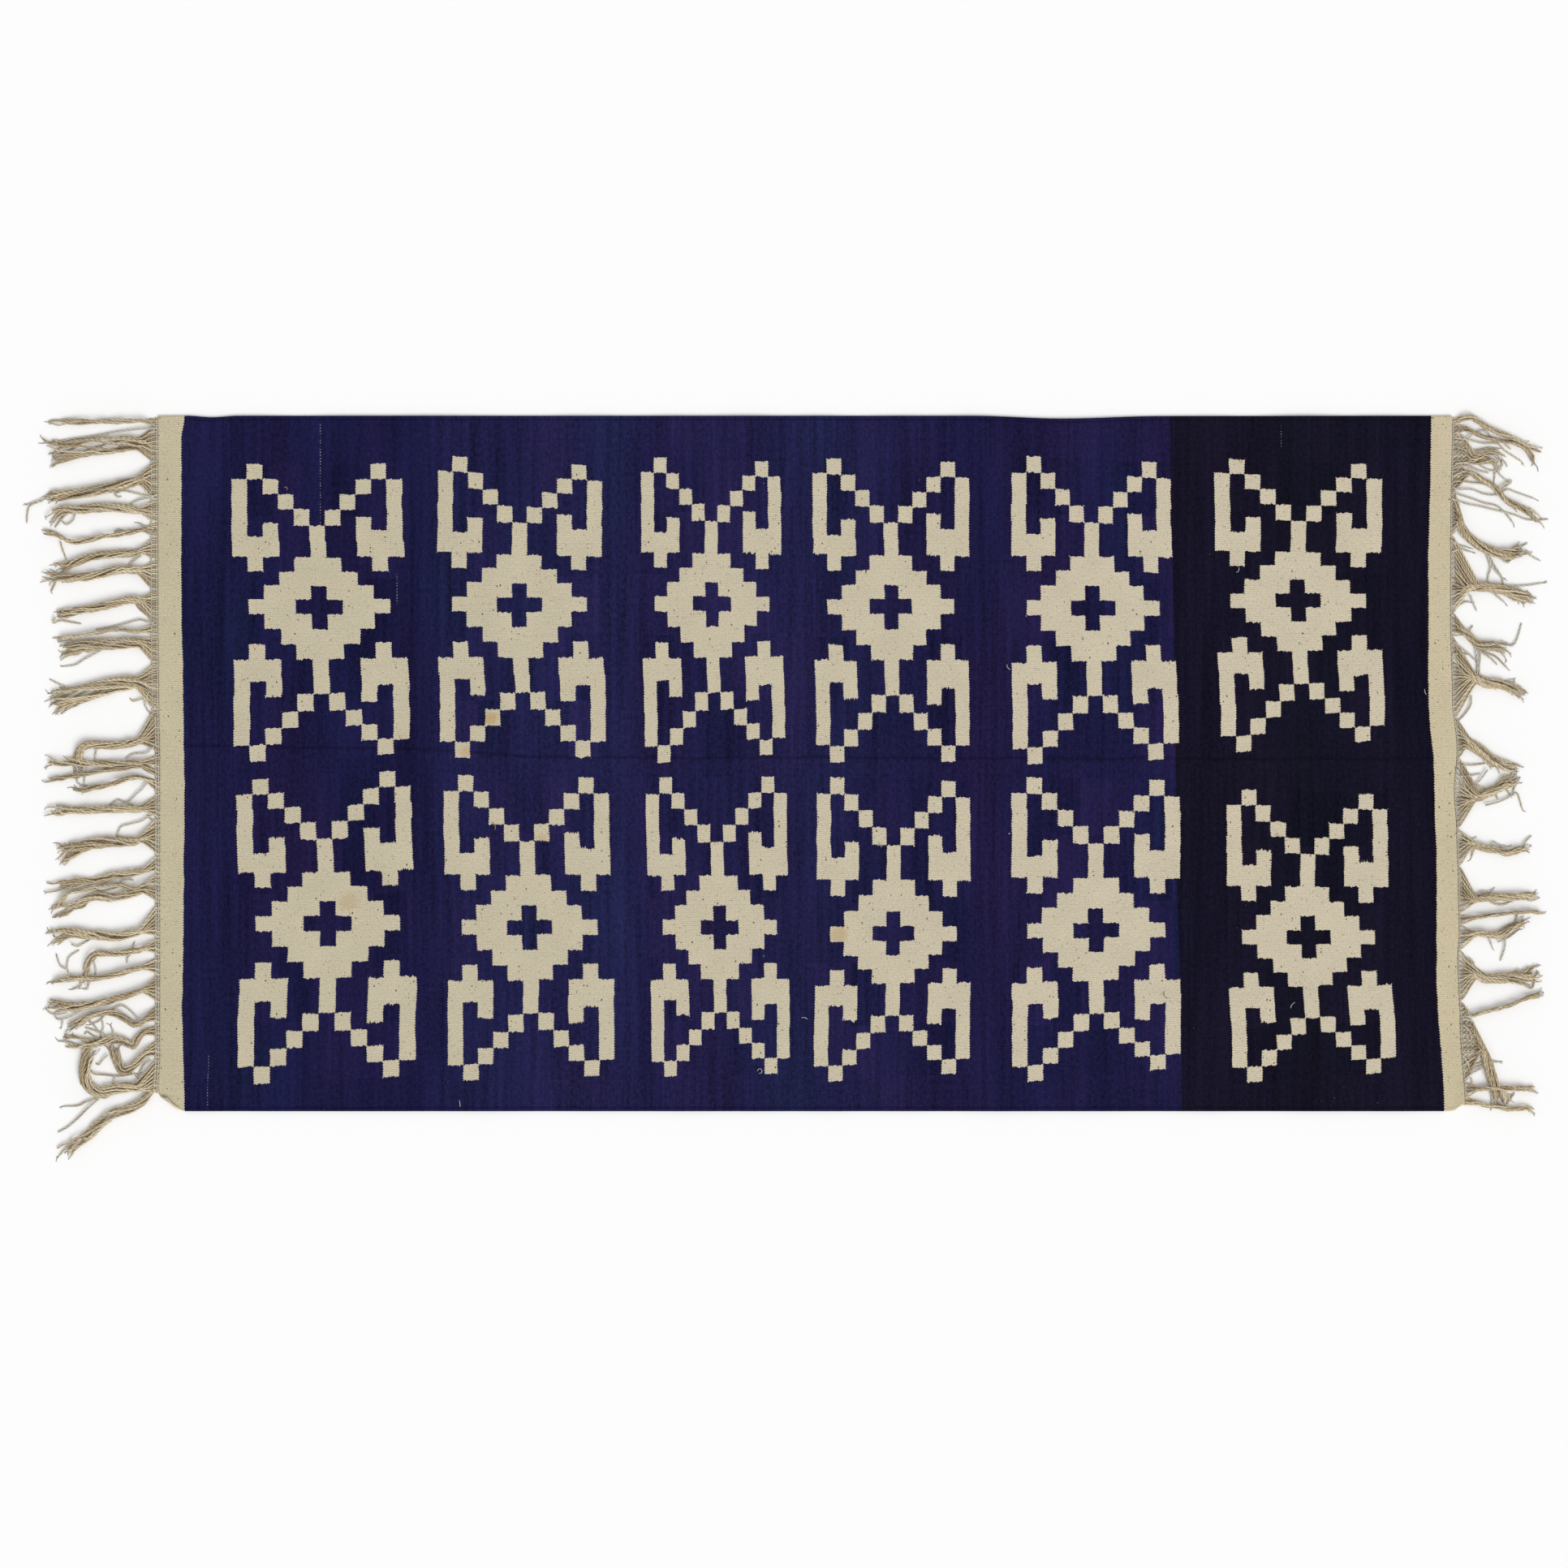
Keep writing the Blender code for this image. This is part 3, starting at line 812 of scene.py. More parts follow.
def navy_yarn(graph, at):
    """Navy yarn: dye lots, streaks along the weft, and patches woven from one bobbin."""
    along, across = at.along, at.across
    lots = [lots_ramp(graph, along, table) for table in (NAVY_LOTS, DARK_LOTS)]
    navy = graph.mix((at.dark + at.edge * 0.5) > 0.0, *lots)
    streak = graph.noise(graph.vector(along, across * 0.03), 120.0, 4.0, 0.62)
    broad = graph.noise(graph.vector(along, across * 0.25, 11.0), 14.0, 3.0)
    grain = graph.noise(graph.vector(along, across * 0.5, 2.0), 700.0, 2.0, 0.7)
    nap = graph.noise(graph.vector(along, across * 0.6, 6.0), 260.0, 2.0, 0.6)
    inside = (at.motif_across.size() < HALF_COLUMNS) & (at.motif_up.size() < HALF_ROWS)
    cell = ((at.motif_across * 0.5).whole(), (at.motif_up * 0.25).whole(), at.motif)
    bobbin = (graph.chance(graph.vector(*cell)) - 0.5) & inside
    level = (streak - 0.5) * 1.5 + (broad - 0.5) * 0.9 + (grain - 0.5) * 1.6
    navy = graph.tint(navy, level + (nap - 0.5) * 1.5 + bobbin * 0.3 + 1.0)
    hue = graph.noise(graph.vector(along, across * 0.3, 19.0), 11.0)
    return graph.turn_hue(navy, 0.478 + hue * 0.05 + bobbin * 0.012)


def aged_navy(graph, at, navy):
    """The navy with painted shade along its crease, its selvedge line, worn places and white lint."""
    along, across = at.along, at.across
    # Painted shade: the navy is made darker in a narrow band along the crease
    crease = ~(at.from_crease + at.wobble * 0.006).size().clear(0.0, 3.5 * MM)
    seam = ~(at.from_side - SELVEDGE_WIDTH * 0.8).size().clear(0.4 * MM, 1.6 * MM)
    navy = graph.tint(navy, 1.0 - crease * 0.32 - seam * 0.35)
    worn = graph.noise(graph.vector(along, across, 23.0), 240.0, 3.0, 0.7).clear(0.6, 0.78)
    patches = graph.noise(graph.vector(along, across * 1.5, 29.0), 9.0).clear(0.45, 0.65)
    navy = graph.mix(worn & patches & ~at.low_edge.clear(15 * MM, 75 * MM), navy, WORN)
    lint = graph.spots(graph.vector(along, across), 34.0, 0.07, 0.026)
    lint = lint | graph.spots(graph.vector(along * 2.5, across), 70.0, 0.05, 0.03) * 0.7
    for row in DOT_ROWS:
        thin = (along - row.along * MM).size() < DOT_SIZE * 0.6
        spell = (across > row.low * MM) & (across < row.high * MM)
        dotted = (across.fold(DOT_PITCH) * DOT_PITCH > DOT_PITCH - DOT_SIZE) & spell & thin
        shown = graph.chance(graph.vector(row.along, (across / DOT_PITCH * 0.5).whole()))
        lint = lint | (dotted & (shown * 0.8))
    return graph.mix(lint * 0.85, navy, LINT)


def web_material():
    graph = Graph("navy_and_cream_cotton")
    at = Places(graph)
    navy = aged_navy(graph, at, navy_yarn(graph, at))
    shade = graph.mix(pattern(graph, at), navy, cream_yarn(graph, at))

    # The ribs run along the rug, and each is a column of short weft floats
    rib = graph.math("POWER", at.across.fold(RIB_PITCH * 0.5), 0.6)
    row_parity = graph.math("MODULO", (at.across / RIB_PITCH).whole(), 2.0)
    pick = (at.along + row_parity * PICK_PITCH).fold(PICK_PITCH)
    slub = graph.noise(graph.vector(at.along * 1.5, at.across), 420.0)
    graph.bump(rib * 0.75 + pick * 0.25 + slub * 0.9, 0.55 * MM)
    # Painted shade: the colour is darker in the grooves between the ribs and lighter on their tops
    shade = graph.tint(shade, 0.9 + rib * 0.15)
    return graph.finish(shade, 0.86 + at.thread * 0.1, 0.04, 0.01)


# ---------------------------------------------------------------------------------------------
# The web's mesh


def ease(part):
    part = np.clip(part, 0.0, 1.0)
    return part * part * (3 - 2 * part)


def table_at(table, place):
    """The table's second column at places in metres, eased from row to row."""
    rows = sorted(table)
    places = np.array([row[0] for row in rows]) * MM
    values = np.array([row[1] for row in rows]) * MM
    index = np.clip(np.searchsorted(places, place) - 1, 0, len(rows) - 2)
    part = ease((place - places[index]) / (places[index + 1] - places[index]))
    return values[index] + (values[index + 1] - values[index]) * part


def grid_line(half, fine_length):
    """Places from -half to half, close together over the first stretch and at the far edge."""
    fine = np.arange(-half, -half + fine_length, FINE_STEP)
    count = round((2 * half - fine_length - SELVEDGE_WIDTH) / GRID_STEP)
    coarse = np.linspace(-half + fine_length, half - SELVEDGE_WIDTH, count + 1)
    edge = np.linspace(half - SELVEDGE_WIDTH, half, SELVEDGE_STEPS + 1)[1:]
    return np.concatenate([fine, coarse, edge])


def plan(along, across, half_length, half_width):
    """Where the flat cloth's points lie, seen from above, with its sides' wander."""
    left = ease(1 - (along + half_length) / END_REACH)
    right = ease(1 - (half_length - along) / END_REACH)
    upper = ease(1 - (half_width - across) / SIDE_REACH)
    lower = ease(1 - (across + half_width) / SIDE_REACH)
    x = along - left * table_at(LEFT_END, across) + right * table_at(RIGHT_END, across)
    y = across + upper * table_at(UPPER_SIDE, along) - lower * table_at(LOWER_SIDE, along)
    return x, y


def rise(x, y, half_width):
    """How far the cloth's underside stands off the floor as it lies."""
    height = np.zeros_like(x)
    for wave in WAVES:
        phase = 2 * math.pi * (x / (wave.along * MM) + y / (wave.across * MM)) + wave.shift
        height += wave.height * MM * (0.5 + 0.5 * np.sin(phase)) ** 2
    near_side = ease(1 - (half_width - np.abs(y)) / RIPPLE_REACH)
    ripple = 0.5 + 0.5 * np.sin(2 * math.pi * x / RIPPLE_LENGTH + 2.0 * np.sin(7.0 * x) + y)
    fold = np.exp(-(((y - table_at(CREASE, x)) / CREASE_WIDTH) ** 2))
    return height + near_side * ripple * RIPPLE_HEIGHT + fold * CREASE_HEIGHT


def curl(x, y, z):
    """Rolls the cloth beyond the fold line up and over."""
    start = np.array(FOLD_START) * MM
    line = np.array(FOLD_END) * MM - start
    line /= np.linalg.norm(line)
    outward = np.array((line[1], -line[0]))
    beyond = (x - start[0]) * outward[0] + (y - start[1]) * outward[1]
    angle = np.maximum(beyond, 0) * FOLD_SHRINK / FOLD_RADIUS
    moved = FOLD_RADIUS * np.sin(angle) - np.maximum(beyond, 0)
    lift = FOLD_RADIUS * (1 - np.cos(angle))
    return x + moved * outward[0], y + moved * outward[1], z + lift


def rows_away(height):
    """The chart row at heights given as shares of the way from the middle to a foot."""
    places = [0, SHOULDER, FORK, 1, 2]
    return np.interp(height, places, [0, SHOULDER_ROW, FORK_ROW, HALF_ROWS, 2 * HALF_ROWS])


def between(pair, share):
    return pair[0] + (pair[1] - pair[0]) * share


def chart_columns(motif, x, up):
    """The chart column at places along X, for places in rows above the middle."""
    height = np.clip(0.5 + 0.5 * up / BAR_ROW, -0.1, 1.1)
    left = between((motif.lower_bars[0], motif.upper_bars[0]), height)
    right = between((motif.lower_bars[1], motif.upper_bars[1]), height)
    straight = (sum(motif.lower_bars) + sum(motif.upper_bars)) / 4
    bow = (motif.middle[0] - straight) * np.maximum(0, 1 - (up / BAR_ROW) ** 2)
    return 2 * HALF_COLUMNS * (x - (left + right) / 2 - bow) / (right - left)


def hook_rows(height, depth):
    """The chart row for the hooks, whose bases are woven deeper than the diamond's rows."""
    top = SHOULDER + depth
    places = [0, SHOULDER - HOOK_TAIL, SHOULDER, top, top + HOOK_TIP, 2]
    return np.interp(height, places, [0, 2.5, 3.5, 4.5, 5.5, 12])


def chart_place(x, y):
    """For faces' corners, in mm: the column and row of the nearest motif's chart, the hooks' row,
    and the motif's number. A face keeps to the motif nearest to its middle."""
    best = np.full(len(x), np.inf)
    found = np.zeros((*x.shape, 4))
    for number, motif in enumerate(MOTIFS):
        bars = [motif.upper_bars[side] / 2 + motif.lower_bars[side] / 2 for side in (0, 1)]
        share = (x - bars[0]) / (bars[1] - bars[0])
        share = np.clip(0.5 + (share - 0.5) * HALF_COLUMNS / FOOT_COLUMN, -0.2, 1.2)
        above = y > motif.middle[1]
        feet = np.where(above, between(motif.upper_feet, share), between(motif.lower_feet, share))
        height = (y - motif.middle[1]) / (feet - motif.middle[1])
        rows = rows_away(height)
        sign = np.where(above, 1, -1)
        across = chart_columns(motif, x, rows * sign)
        left_hooks = hook_rows(height, LEFT_HOOK_DEPTH)
        hooks = np.where(across > 0, hook_rows(height, RIGHT_HOOK_DEPTH), left_hooks)
        spread = np.maximum(np.abs(across) / HALF_COLUMNS, rows / HALF_ROWS).mean(1)
        nearer = spread < best
        best[nearer] = spread[nearer]
        places = np.stack([across, rows * sign, hooks * sign, np.full_like(x, number)], 2)
        found[nearer] = places[nearer]
    return found


def surface_normals(points):
    along = np.gradient(points, axis=0)
    across = np.gradient(points, axis=1)
    normals = np.cross(along, across)
    return normals / np.linalg.norm(normals, axis=2, keepdims=True)


def rim_loop(columns, rows):
    """Grid positions round the web's outline, anticlockwise from its lower left corner."""
    bottom = [(i, 0) for i in range(columns - 1)]
    right = [(columns - 1, j) for j in range(rows - 1)]
    top = [(i, rows - 1) for i in range(columns - 1, 0, -1)]
    left = [(0, j) for j in range(rows - 1, 0, -1)]
    return np.array(bottom + right + top + left)


def vector_attribute(mesh, name, domain, values):
    attribute = mesh.attributes.new(name, "FLOAT_VECTOR", domain)
    attribute.data.foreach_set("vector", np.asarray(values, np.float32).ravel())


def new_piece(name, points, faces, material):
    mesh = bpy.data.meshes.new(name)
    mesh.from_pydata(points, [], faces)
    mesh.materials.append(material)
    mesh.shade_smooth()
    piece = bpy.data.objects.new(name, mesh)
    bpy.context.scene.collection.objects.link(piece)
    return piece


def build_web(half_length, half_width):
    line_along = grid_line(half_length - RIM_INSET, FINE_ALONG)
    line_across = grid_line(half_width - RIM_INSET, FINE_ACROSS)
    along, across = np.meshgrid(line_along, line_across, indexing="ij")
    x, y = plan(along, across, half_length, half_width)
    side = ease(1 - (half_width - np.abs(across)) / SELVEDGE_WIDTH)
    half_thick = (THICKNESS + SELVEDGE_EXTRA * side) / 2
    height = rise(x, y, half_width) + half_thick
    middle = np.stack(curl(x, y, height), axis=2)
    normal = surface_normals(middle)
    top = middle + normal * half_thick[..., None]
    bottom = middle - normal * half_thick[..., None]

    columns, rows = along.shape
    loop = rim_loop(columns, rows)
    ring = middle[loop[:, 0], loop[:, 1]]
    ahead = np.roll(ring, -1, axis=0) - np.roll(ring, 1, axis=0)
    outward = np.cross(ahead, normal[loop[:, 0], loop[:, 1]])
    ring = ring + outward / np.linalg.norm(outward, axis=1, keepdims=True) * RIM_ROUND

    layer = columns * rows
    index = np.arange(layer).reshape(columns, rows)
    quads = np.stack([index[:-1, :-1], index[1:, :-1], index[1:, 1:], index[:-1, 1:]], 2)
    quads = quads.reshape(-1, 4)
    border = index[loop[:, 0], loop[:, 1]]
    rim = 2 * layer + np.arange(len(loop))
    upper_rim = np.stack([rim, np.roll(rim, -1), np.roll(border, -1), border], 1)
    under = border + layer
    lower_rim = np.stack([under, np.roll(under, -1), np.roll(rim, -1), rim], 1)
    faces = np.concatenate([quads, quads[:, ::-1] + layer, upper_rim, lower_rim])
    points = np.concatenate([top.reshape(-1, 3), bottom.reshape(-1, 3), ring])

    piece = new_piece("rug_web", points.tolist(), faces.tolist(), web_material())
    record_places(piece.data, faces, loop, along, across, x, y)
    return piece


def record_places(mesh, faces, loop, along, across, x, y):
    """Keeps the flat cloth's coordinates on the mesh for the material, and a UV map over the flat cloth."""

    def everywhere(values):
        return np.concatenate([values.ravel(), values.ravel(), values[loop[:, 0], loop[:, 1]]])

    flat_along, flat_across = everywhere(along), everywhere(across)
    plan_x, plan_y = everywhere(x), everywhere(y)
    crease = plan_y - table_at(CREASE, plan_x)
    vector_attribute(mesh, "cloth", "POINT", np.stack([flat_along, flat_across, crease], 1))
    bands = [
        (table_at(LEFT_BAND, plan_y) - plan_x) / MM,
        (plan_x - table_at(RIGHT_BAND, plan_y)) / MM,
        (plan_x - table_at(DARK_STRETCH, plan_y)) / MM,
    ]
    vector_attribute(mesh, "bands", "POINT", np.stack(bands, 1))
    chart = chart_place(plan_x[faces] / MM, plan_y[faces] / MM)
    vector_attribute(mesh, "chart", "CORNER", chart[..., :3])
    flat_side = np.max(np.abs(across)) - np.abs(flat_across)[faces]
    low_edge = flat_across[faces] - np.min(across)
    vector_attribute(mesh, "place", "CORNER", np.stack([chart[..., 3], flat_side, low_edge], 2))
    bake = mesh.uv_layers.new(name="OFBake")
    length, width = np.ptp(along) + 2 * MM, np.ptp(across) + 2 * MM
    u = 0.5 + flat_along[faces] / length
    v = 0.5 + flat_across[faces] / width
    bake.data.foreach_set("uv", np.stack([u, v], 2).astype(np.float32).ravel())


# ---------------------------------------------------------------------------------------------
# Cords


def lengths_along(path):
    """How far along the path each of its points is."""
    return np.concatenate([[0.0], np.cumsum(np.linalg.norm(np.diff(path, axis=0), axis=1))])


class Yarn:
    """Gathers many cords into one mesh."""

    def __init__(self):
        self.points = []
        self.faces = []
        self.twists = []
        self.strands = []
        self.count = 0

    def cord(self, path, radius, sides=CORD_SIDES, tone=0.5, grey=0.0, taper=0.6):
        """A round cord along the path, its last ring drawn in."""
        path = np.asarray(path, float)
        ahead = np.gradient(path, axis=0)
        ahead /= np.linalg.norm(ahead, axis=1, keepdims=True) + 1e-12
        aside = np.cross(ahead, (0.0, 0.0, 1.0))
        aside /= np.linalg.norm(aside, axis=1, keepdims=True) + 1e-12
        above = np.cross(aside, ahead)
        widths = np.full(len(path), radius)
        widths[-1] *= taper
        turn = 2 * math.pi * np.arange(sides) / sides
        rings = path[:, None, :] + widths[:, None, None] * (
            aside[:, None, :] * np.cos(turn)[None, :, None]
            + above[:, None, :] * np.sin(turn)[None, :, None]
        )
        start = self.count
        index = start + np.arange(len(path) * sides).reshape(len(path), sides)
        after = np.roll(index, -1, axis=1)
        quads = np.stack([index[:-1], after[:-1], after[1:], index[1:]], 2).reshape(-1, 4)
        self.points.append(rings.reshape(-1, 3))
        self.faces += quads[:, ::-1].tolist()
        self.faces.append(index[0].tolist())
        self.faces.append(index[-1][::-1].tolist())
        self.keep_twist(lengths_along(path), sides)
        self.strands.append(np.tile((tone, grey, 0.0), (len(path) * sides, 1)))
        self.count += len(path) * sides

    def keep_twist(self, gone, sides):
        """Keeps, for each face's corners, how far they are round and along the cord."""
        share = np.arange(sides) / sides
        near, far = np.meshgrid(gone[:-1], share, indexing="ij")
        beyond = np.repeat(gone[1:, None], sides, 1)
        u = np.stack([far, far + 1 / sides, far + 1 / sides, far], 2)
        v = np.stack([near, near, beyond, beyond], 2)
        side_uv = np.stack([u, v], 3).reshape(-1, 4, 2)[:, ::-1]
        self.twists.append(side_uv.reshape(-1, 2))
        self.twists.append(np.stack([share, np.full(sides, gone[0])], 1))
        self.twists.append(np.stack([share, np.full(sides, gone[-1])], 1)[::-1])

    def build(self, name, material):
        points = np.concatenate(self.points)
        piece = new_piece(name, points.tolist(), self.faces, material)
        vector_attribute(piece.data, "strand", "POINT", np.concatenate(self.strands))
        twist = piece.data.uv_layers.new(name="twist")
        uv = np.concatenate(self.twists)
        twist.data.foreach_set("uv", uv.astype(np.float32).ravel())
        return piece


def smooth_path(points, step):
    """A smooth curve through the given points, with points about one step apart."""
    points = np.asarray(points, float)
    ends = np.concatenate([[2 * points[0] - points[1]], points, [2 * points[-1] - points[-2]]])
    found = []
    for before, start, end, after in zip(ends, ends[1:], ends[2:], ends[3:]):
        count = max(1, round(np.linalg.norm(end - start) / step))
        part = (np.arange(count) / count)[:, None]
        bend = 2 * start + (end - before) * part
        bend = bend + (2 * before - 5 * start + 4 * end - after) * part**2
        bend = bend + (3 * start - before - 3 * end + after) * part**3
        found.append(bend / 2)
    found.append(points[-1:])
    return np.concatenate(found)


def cord_material():
    graph = Graph("ecru_warp_cotton")
    tone, grey, _ = graph.attribute("strand")
    node = graph.add("ShaderNodeUVMap", uv_map="twist")
    parts = graph.add("ShaderNodeSeparateXYZ")
    graph.tree.links.new(node.outputs[0], parts.inputs[0])
    turn, run = Term(graph, parts.outputs[0]), Term(graph, parts.outputs[1])
    lay = (turn * 2.0 + run / PLY_PITCH).fold(0.5)
    place = graph.vector(turn, run * 30.0, tone * 40.0)
    hair = graph.noise(place, 9.0, 3.0, 0.7)
    dirt = graph.noise(graph.vector(run * 18.0, tone * 60.0), 1.0, 2.0)
    shade = graph.mix(tone, colour(172, 154, 124), colour(216, 202, 172))
    shade = graph.mix(grey, shade, colour(204, 201, 190))
    shade = graph.mix(dirt.clear(0.52, 0.75) * 0.55, shade, colour(142, 116, 80))
    # Painted shade: each cord's colour is much darker in the grooves between its plies and lighter on their
    # crowns
    shade = graph.tint(shade, 0.34 + lay.clear(0.0, 0.4) * 0.62 + hair * 0.3)
    graph.bump(lay.clear(0.0, 0.6) + hair * 0.5, 0.5 * MM)
    return graph.finish(shade, 0.9, 0.08, 0.03)


class End:
    """One end of the web: where it stands, and the cords that leave it."""

    def __init__(self, side, table, half_length, seed):
        self.side = side
        self.table = table
        self.half_length = half_length
        self.chance = np.random.default_rng(seed)

    def edge(self, across):
        return self.half_length + float(table_at(self.table, np.float64(across)))

    def laid(self, path, step, radius):
        """A smooth path in the rug's frame, from points as distances beyond the end and heights."""
        path = smooth_path(path, step)
        path[:, 2] = np.maximum(path[:, 2], radius)
        path[:, 0] = self.side * (self.half_length + path[:, 0])
        return path


def header_depth(side, across):
    """How far the warps run straight or crossed before they gather."""
    if side < 0:
        return LEFT_HEADER_DEEP if across > LEFT_HEADER_CHANGE else LEFT_HEADER_DEPTH
    near = [1 - ((across - deep) / RIGHT_HEADER_REACH) ** 2 for deep in RIGHT_HEADER_DEEP]
    return RIGHT_HEADER_DEPTH + RIGHT_HEADER_EXTRA * max(0.0, *near)


def header_cross(side, across):
    """How far each warp leans to its neighbours in the header, as a share of their pitch."""
    if side < 0:
        return 0.12 if across > LEFT_HEADER_CHANGE else 0.25
    return 0.45


def header_path(end, root, number, middle):
    """A cord's first points, from inside the web's end to where it leaves the header."""
    depth = header_depth(end.side, root)
    base = end.edge(root) - end.half_length
    lean = CORD_PITCH * header_cross(end.side, root)
    pull = np.clip(middle - root, -MOST_PULL, MOST_PULL) * PULL_SHARE
    height = CORD_RADIUS * (1.5 + 0.6 * (-1) ** number)
    steps = max(1, round(depth / HEADER_STEP))
    path = [(base - ROOT_DEPTH, root, CORD_RADIUS)]
    for step in range(1, steps + 1):
        share = step / steps
        path.append((base + depth * share, root + (-1) ** (step + number) * lean + pull * share, height))
    return path


class Tassel:
    """The line that a bundle's cords follow, and how they wind and pile up round it."""

    def __init__(self, bundle, count, chance):
        self.bundle = bundle
        self.chance = chance
        self.spine = smooth_path([(out * MM, across * MM) for out, across in bundle.route], SPINE_STEP)
        self.gone = lengths_along(self.spine)
        ahead = np.gradient(self.spine, axis=0)
        ahead /= np.linalg.norm(ahead, axis=1, keepdims=True)
        self.aside = np.stack([-ahead[:, 1], ahead[:, 0]], 1)
        self.thick = min(count * CORD_RADIUS**2 * PACKING / (bundle.waist * MM / 2), MOST_PILE)
        self.turns = chance.choice([-1, 1]) / (max(bundle.waist, LEAST_WAIST) * LAY * MM)

    def phase(self, number, count):
        """A cord's place round the tassel. Odd cords start below the even ones."""
        rank = (number + 0.5) / count * 2 - 1
        phase = math.asin(max(-0.98, min(0.98, rank)))
        if number % 2:
            phase = math.pi - phase
        return phase + self.chance.normal(0, 0.18)

    def length(self):
        """How far a cord runs. Most end near the tip and some are short."""
        total = self.gone[-1] + self.chance.uniform(-13, 3) * MM
        if self.chance.random() < SHORT_CORDS:
            total -= self.chance.uniform(10, 35) * MM
        return total

    def point(self, distance, join, total, phase):
        """A cord's place at a distance along the tassel."""
        waist, brush = self.bundle.waist, self.bundle.brush
        nearest = min(np.searchsorted(self.gone, distance), len(self.gone) - 1)
        half = (waist + (brush - waist) * distance / self.gone[-1]) * MM / 2
        loose = max(0.0, (distance - total + BRUSH_LENGTH) / BRUSH_LENGTH)
        half = max(half - CORD_RADIUS, LEAST_SPREAD) * (1 + 0.5 * loose)
        angle = phase + 2 * math.pi * self.turns * (distance - join)
        offset = half * math.sin(angle) + self.chance.normal(0, 0.5) * MM * (1 + 2 * loose)
        height = CORD_RADIUS + self.thick * (1 + math.cos(angle)) * 0.9 * (1 - 0.5 * loose)
        out, across = self.spine[nearest] + self.aside[nearest] * offset
        return (out, across, height + abs(self.chance.normal(0, 0.3)) * MM)


def gather(end, bundle, roots, yarn):
    """The cords of one tassel, from their places along the web's end to its tip."""
    chance = end.chance
    tassel = Tassel(bundle, len(roots), chance)
    middle = bundle.route[0][1] * MM
    for number, root in enumerate(roots):
        phase = tassel.phase(number, len(roots))
        path = header_path(end, root, number, middle)
        join = JOIN_NEAR + header_depth(end.side, root) * 0.6 + abs(root - middle) * JOIN_SLOPE
        total = tassel.length()
        for distance in np.arange(join, total, ROUTE_STEP):
            path.append(tassel.point(distance, join, total, phase))
        path = end.laid(path, CORD_STEP, CORD_RADIUS)
        tone = chance.random()
        yarn.cord(path, CORD_RADIUS * chance.uniform(0.85, 1.08), tone=tone)
        fray(path, yarn, chance, tone)


def fray(path, yarn, chance, tone):
    """Loose plies past a cord's tip."""
    ahead = path[-1] - path[-3]
    ahead /= np.linalg.norm(ahead)
    for _ in range(chance.integers(0, 3)):
        turn = chance.normal(0, 0.2)
        bend = chance.normal(0, 0.35)
        length = chance.uniform(3, 8) * MM
        points = [path[-2]]
        for share in (0.0, 0.5, 1.0):
            angle = turn + bend * share
            across = np.array((-ahead[1], ahead[0], 0.0)) * math.sin(angle)
            place = path[-1] + (ahead * math.cos(angle) + across) * length * share
            place[2] = max(FRAY_RADIUS, path[-1][2] * (1 - share))
            points.append(place)
        yarn.cord(smooth_path(points, 3 * MM), FRAY_RADIUS, sides=3, tone=tone, grey=0.5)


def twine(end, yarn, low, high, out):
    """A row of twining along the web's end: two strands that wind round each other, one of them
    over the warps and one under them."""
    count = round((high - low) / TWINE_STEP)
    across = np.linspace(low, high, count)
    for strand in (0, 1):
        turn = math.pi * (across / CORD_PITCH + strand)
        base = [end.edge(place) - end.half_length for place in across]
        beyond = np.array(base) + out + np.sin(turn) * 0.5 * MM
        height = CORD_RADIUS * 1.2 + TWINE_RADIUS + np.cos(turn) * CORD_RADIUS
        path = np.stack([end.side * (end.half_length + beyond), across, height], 1)
        yarn.cord(path, TWINE_RADIUS, sides=5, tone=0.9, grey=0.9)


def share_roots(end, bundles, low, high):
    """The warps along the end, each given to the tassel that it runs to."""
    given = [[] for _ in bundles]
    middles = np.array([bundle.route[0][1] for bundle in bundles]) * MM
    reaches = np.array([bundle.fan + 3 for bundle in bundles]) * MM
    for root in np.arange(low, high, CORD_PITCH):
        root += end.chance.uniform(-0.3, 0.3) * MM
        given[int(np.argmin(np.abs(middles - root) / reaches))].append(root)
    for bundle, roots, middle in zip(bundles, given, middles):
        while len(roots) < bundle.waist * LEAST_CORDS:
            roots.append(middle + end.chance.uniform(-0.6, 0.6) * bundle.fan * MM)
        roots.sort()
    return given


def stray(end, route, yarn):
    """One cord that leaves its tassel and comes down to the floor."""
    shares = np.arange(len(route)) / (len(route) - 1)
    lift = np.interp(shares, [0, 0.5, 1], STRAY_LIFTS)
    path = [(out * MM, across * MM, STRAY_RADIUS + up) for (out, across), up in zip(route, lift)]
    path = end.laid(path, CORD_STEP * 0.8, STRAY_RADIUS)
    tone = end.chance.random()
    yarn.cord(path, STRAY_RADIUS, tone=tone, grey=end.chance.uniform(0.3, 0.9))
    fray(path, yarn, end.chance, tone)


def build_fringe(name, end, bundles, strays, twines, low, high, material):
    yarn = Yarn()
    for bundle, roots in zip(bundles, share_roots(end, bundles, low, high)):
        gather(end, bundle, roots, yarn)
    for route in strays:
        stray(end, route, yarn)
    for row in twines:
        twine(end, yarn, row.low * MM, row.high * MM, row.out * MM)
    return yarn.build(name, material)


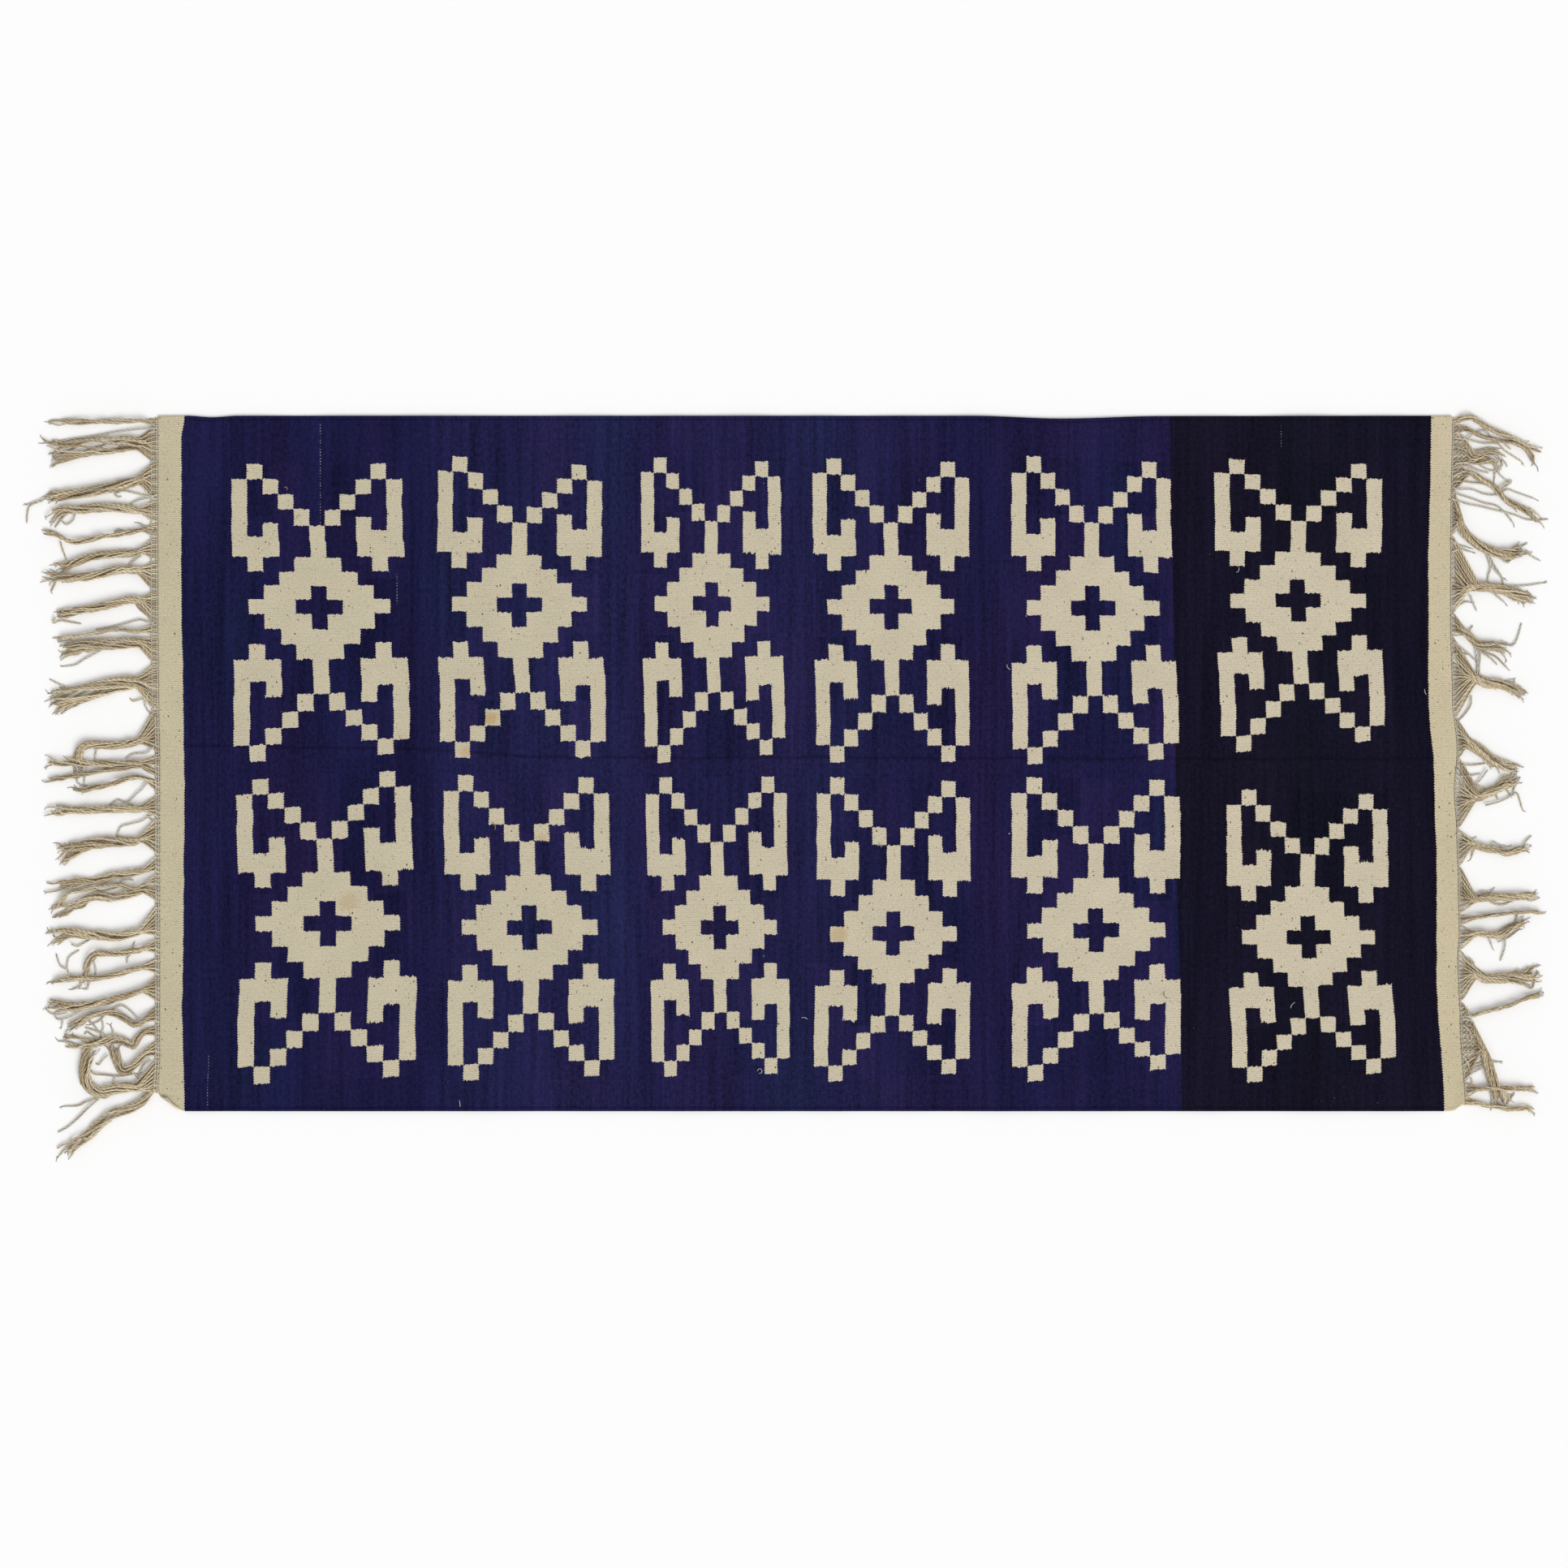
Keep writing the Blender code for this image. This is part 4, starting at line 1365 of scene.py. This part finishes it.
def build_loose_ends(half_width, material):
    """Short ends of yarn that stand a little off the web."""
    yarn = Yarn()
    for thread in LOOSE_ENDS:
        x, y = thread.along * MM, thread.across * MM
        path = []
        for share in np.linspace(0, 1, THREAD_POINTS):
            ground = float(rise(np.float64(x), np.float64(y), half_width)) + THICKNESS
            lift = THREAD_LIFT * math.sin(math.pi * share) - 0.3 * MM * (1 - share)
            path.append((x, y, ground + THREAD_RADIUS + max(lift, -THREAD_RADIUS)))
            heading = math.radians(thread.heading + thread.turn * share)
            x += math.cos(heading) * thread.length * MM / (THREAD_POINTS - 1)
            y += math.sin(heading) * thread.length * MM / (THREAD_POINTS - 1)
        tone = 0.0 if thread.dark else 1.0
        yarn.cord(path, THREAD_RADIUS, sides=5, tone=tone, grey=tone, taper=0.4)
    return yarn.build("loose_ends", material)


# ---------------------------------------------------------------------------------------------
# The studio


def build_floor():
    bpy.ops.mesh.primitive_plane_add(size=60.0, location=(0, 0, 0))
    floor = bpy.context.object
    floor.name = "studio_floor"
    graph = Graph("pale_paper")
    grain = graph.noise(graph.vector(0.0, 0.0), 4.0)
    paper = graph.tint(colour(250, 250, 250), 0.99 + grain * 0.02)
    floor.data.materials.append(graph.finish(paper, 0.9, 0.1, 0.0))


def build_lights():
    world = bpy.data.worlds.new("studio")
    bpy.context.scene.world = world
    world.use_nodes = True
    sky = world.node_tree.nodes["Background"]
    sky.inputs["Color"].default_value = (1.0, 1.0, 1.0, 1.0)
    sky.inputs["Strength"].default_value = 0.62
    key = bpy.data.lights.new("key", "SUN")
    key.energy = 1.75
    key.angle = math.radians(35)
    lamp = bpy.data.objects.new("key", key)
    lamp.rotation_euler = Vector((0.55, -0.75, 1.0)).to_track_quat("Z", "Y").to_euler()
    bpy.context.scene.collection.objects.link(lamp)


def build_camera():
    """Straight above, at the picture's framing of the rug."""
    width = 2.067
    distance = 6.0
    lens = bpy.data.cameras.new("camera")
    lens.sensor_width = 36.0
    lens.lens = lens.sensor_width * distance / width
    lens.clip_end = 100.0
    camera = bpy.data.objects.new("camera", lens)
    camera.location = (-0.031, -0.027, distance)
    bpy.context.scene.collection.objects.link(camera)
    bpy.context.scene.camera = camera
    bpy.context.scene.view_settings.view_transform = "Standard"


def main():
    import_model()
    low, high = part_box("web")
    half_width = (high.y - low.y) / 2
    half_length = -low.x - max(row.out for row in LEFT_END) * MM
    build_camera()
    build_lights()
    build_floor()

    web = build_web(half_length, half_width)
    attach(web, "root")
    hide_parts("web")

    warp = cord_material()
    left_end = End(-1, LEFT_END, half_length, 11)
    right_end = End(1, RIGHT_END, half_length, 23)
    top = half_width - 3 * MM
    left = build_fringe(
        "cords_left", left_end, LEFT_BUNDLES, LEFT_STRAYS, LEFT_TWINES, -top + 22 * MM, top, warp
    )
    right = build_fringe(
        "cords_right", right_end, RIGHT_BUNDLES, RIGHT_STRAYS, RIGHT_TWINES, -top + 6 * MM, top, warp
    )
    for piece, node in ((left, "fringe_left"), (right, "fringe_right")):
        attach(piece, "root")
        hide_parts(node)
    loose = build_loose_ends(half_width, warp)
    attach(loose, "root")


main()
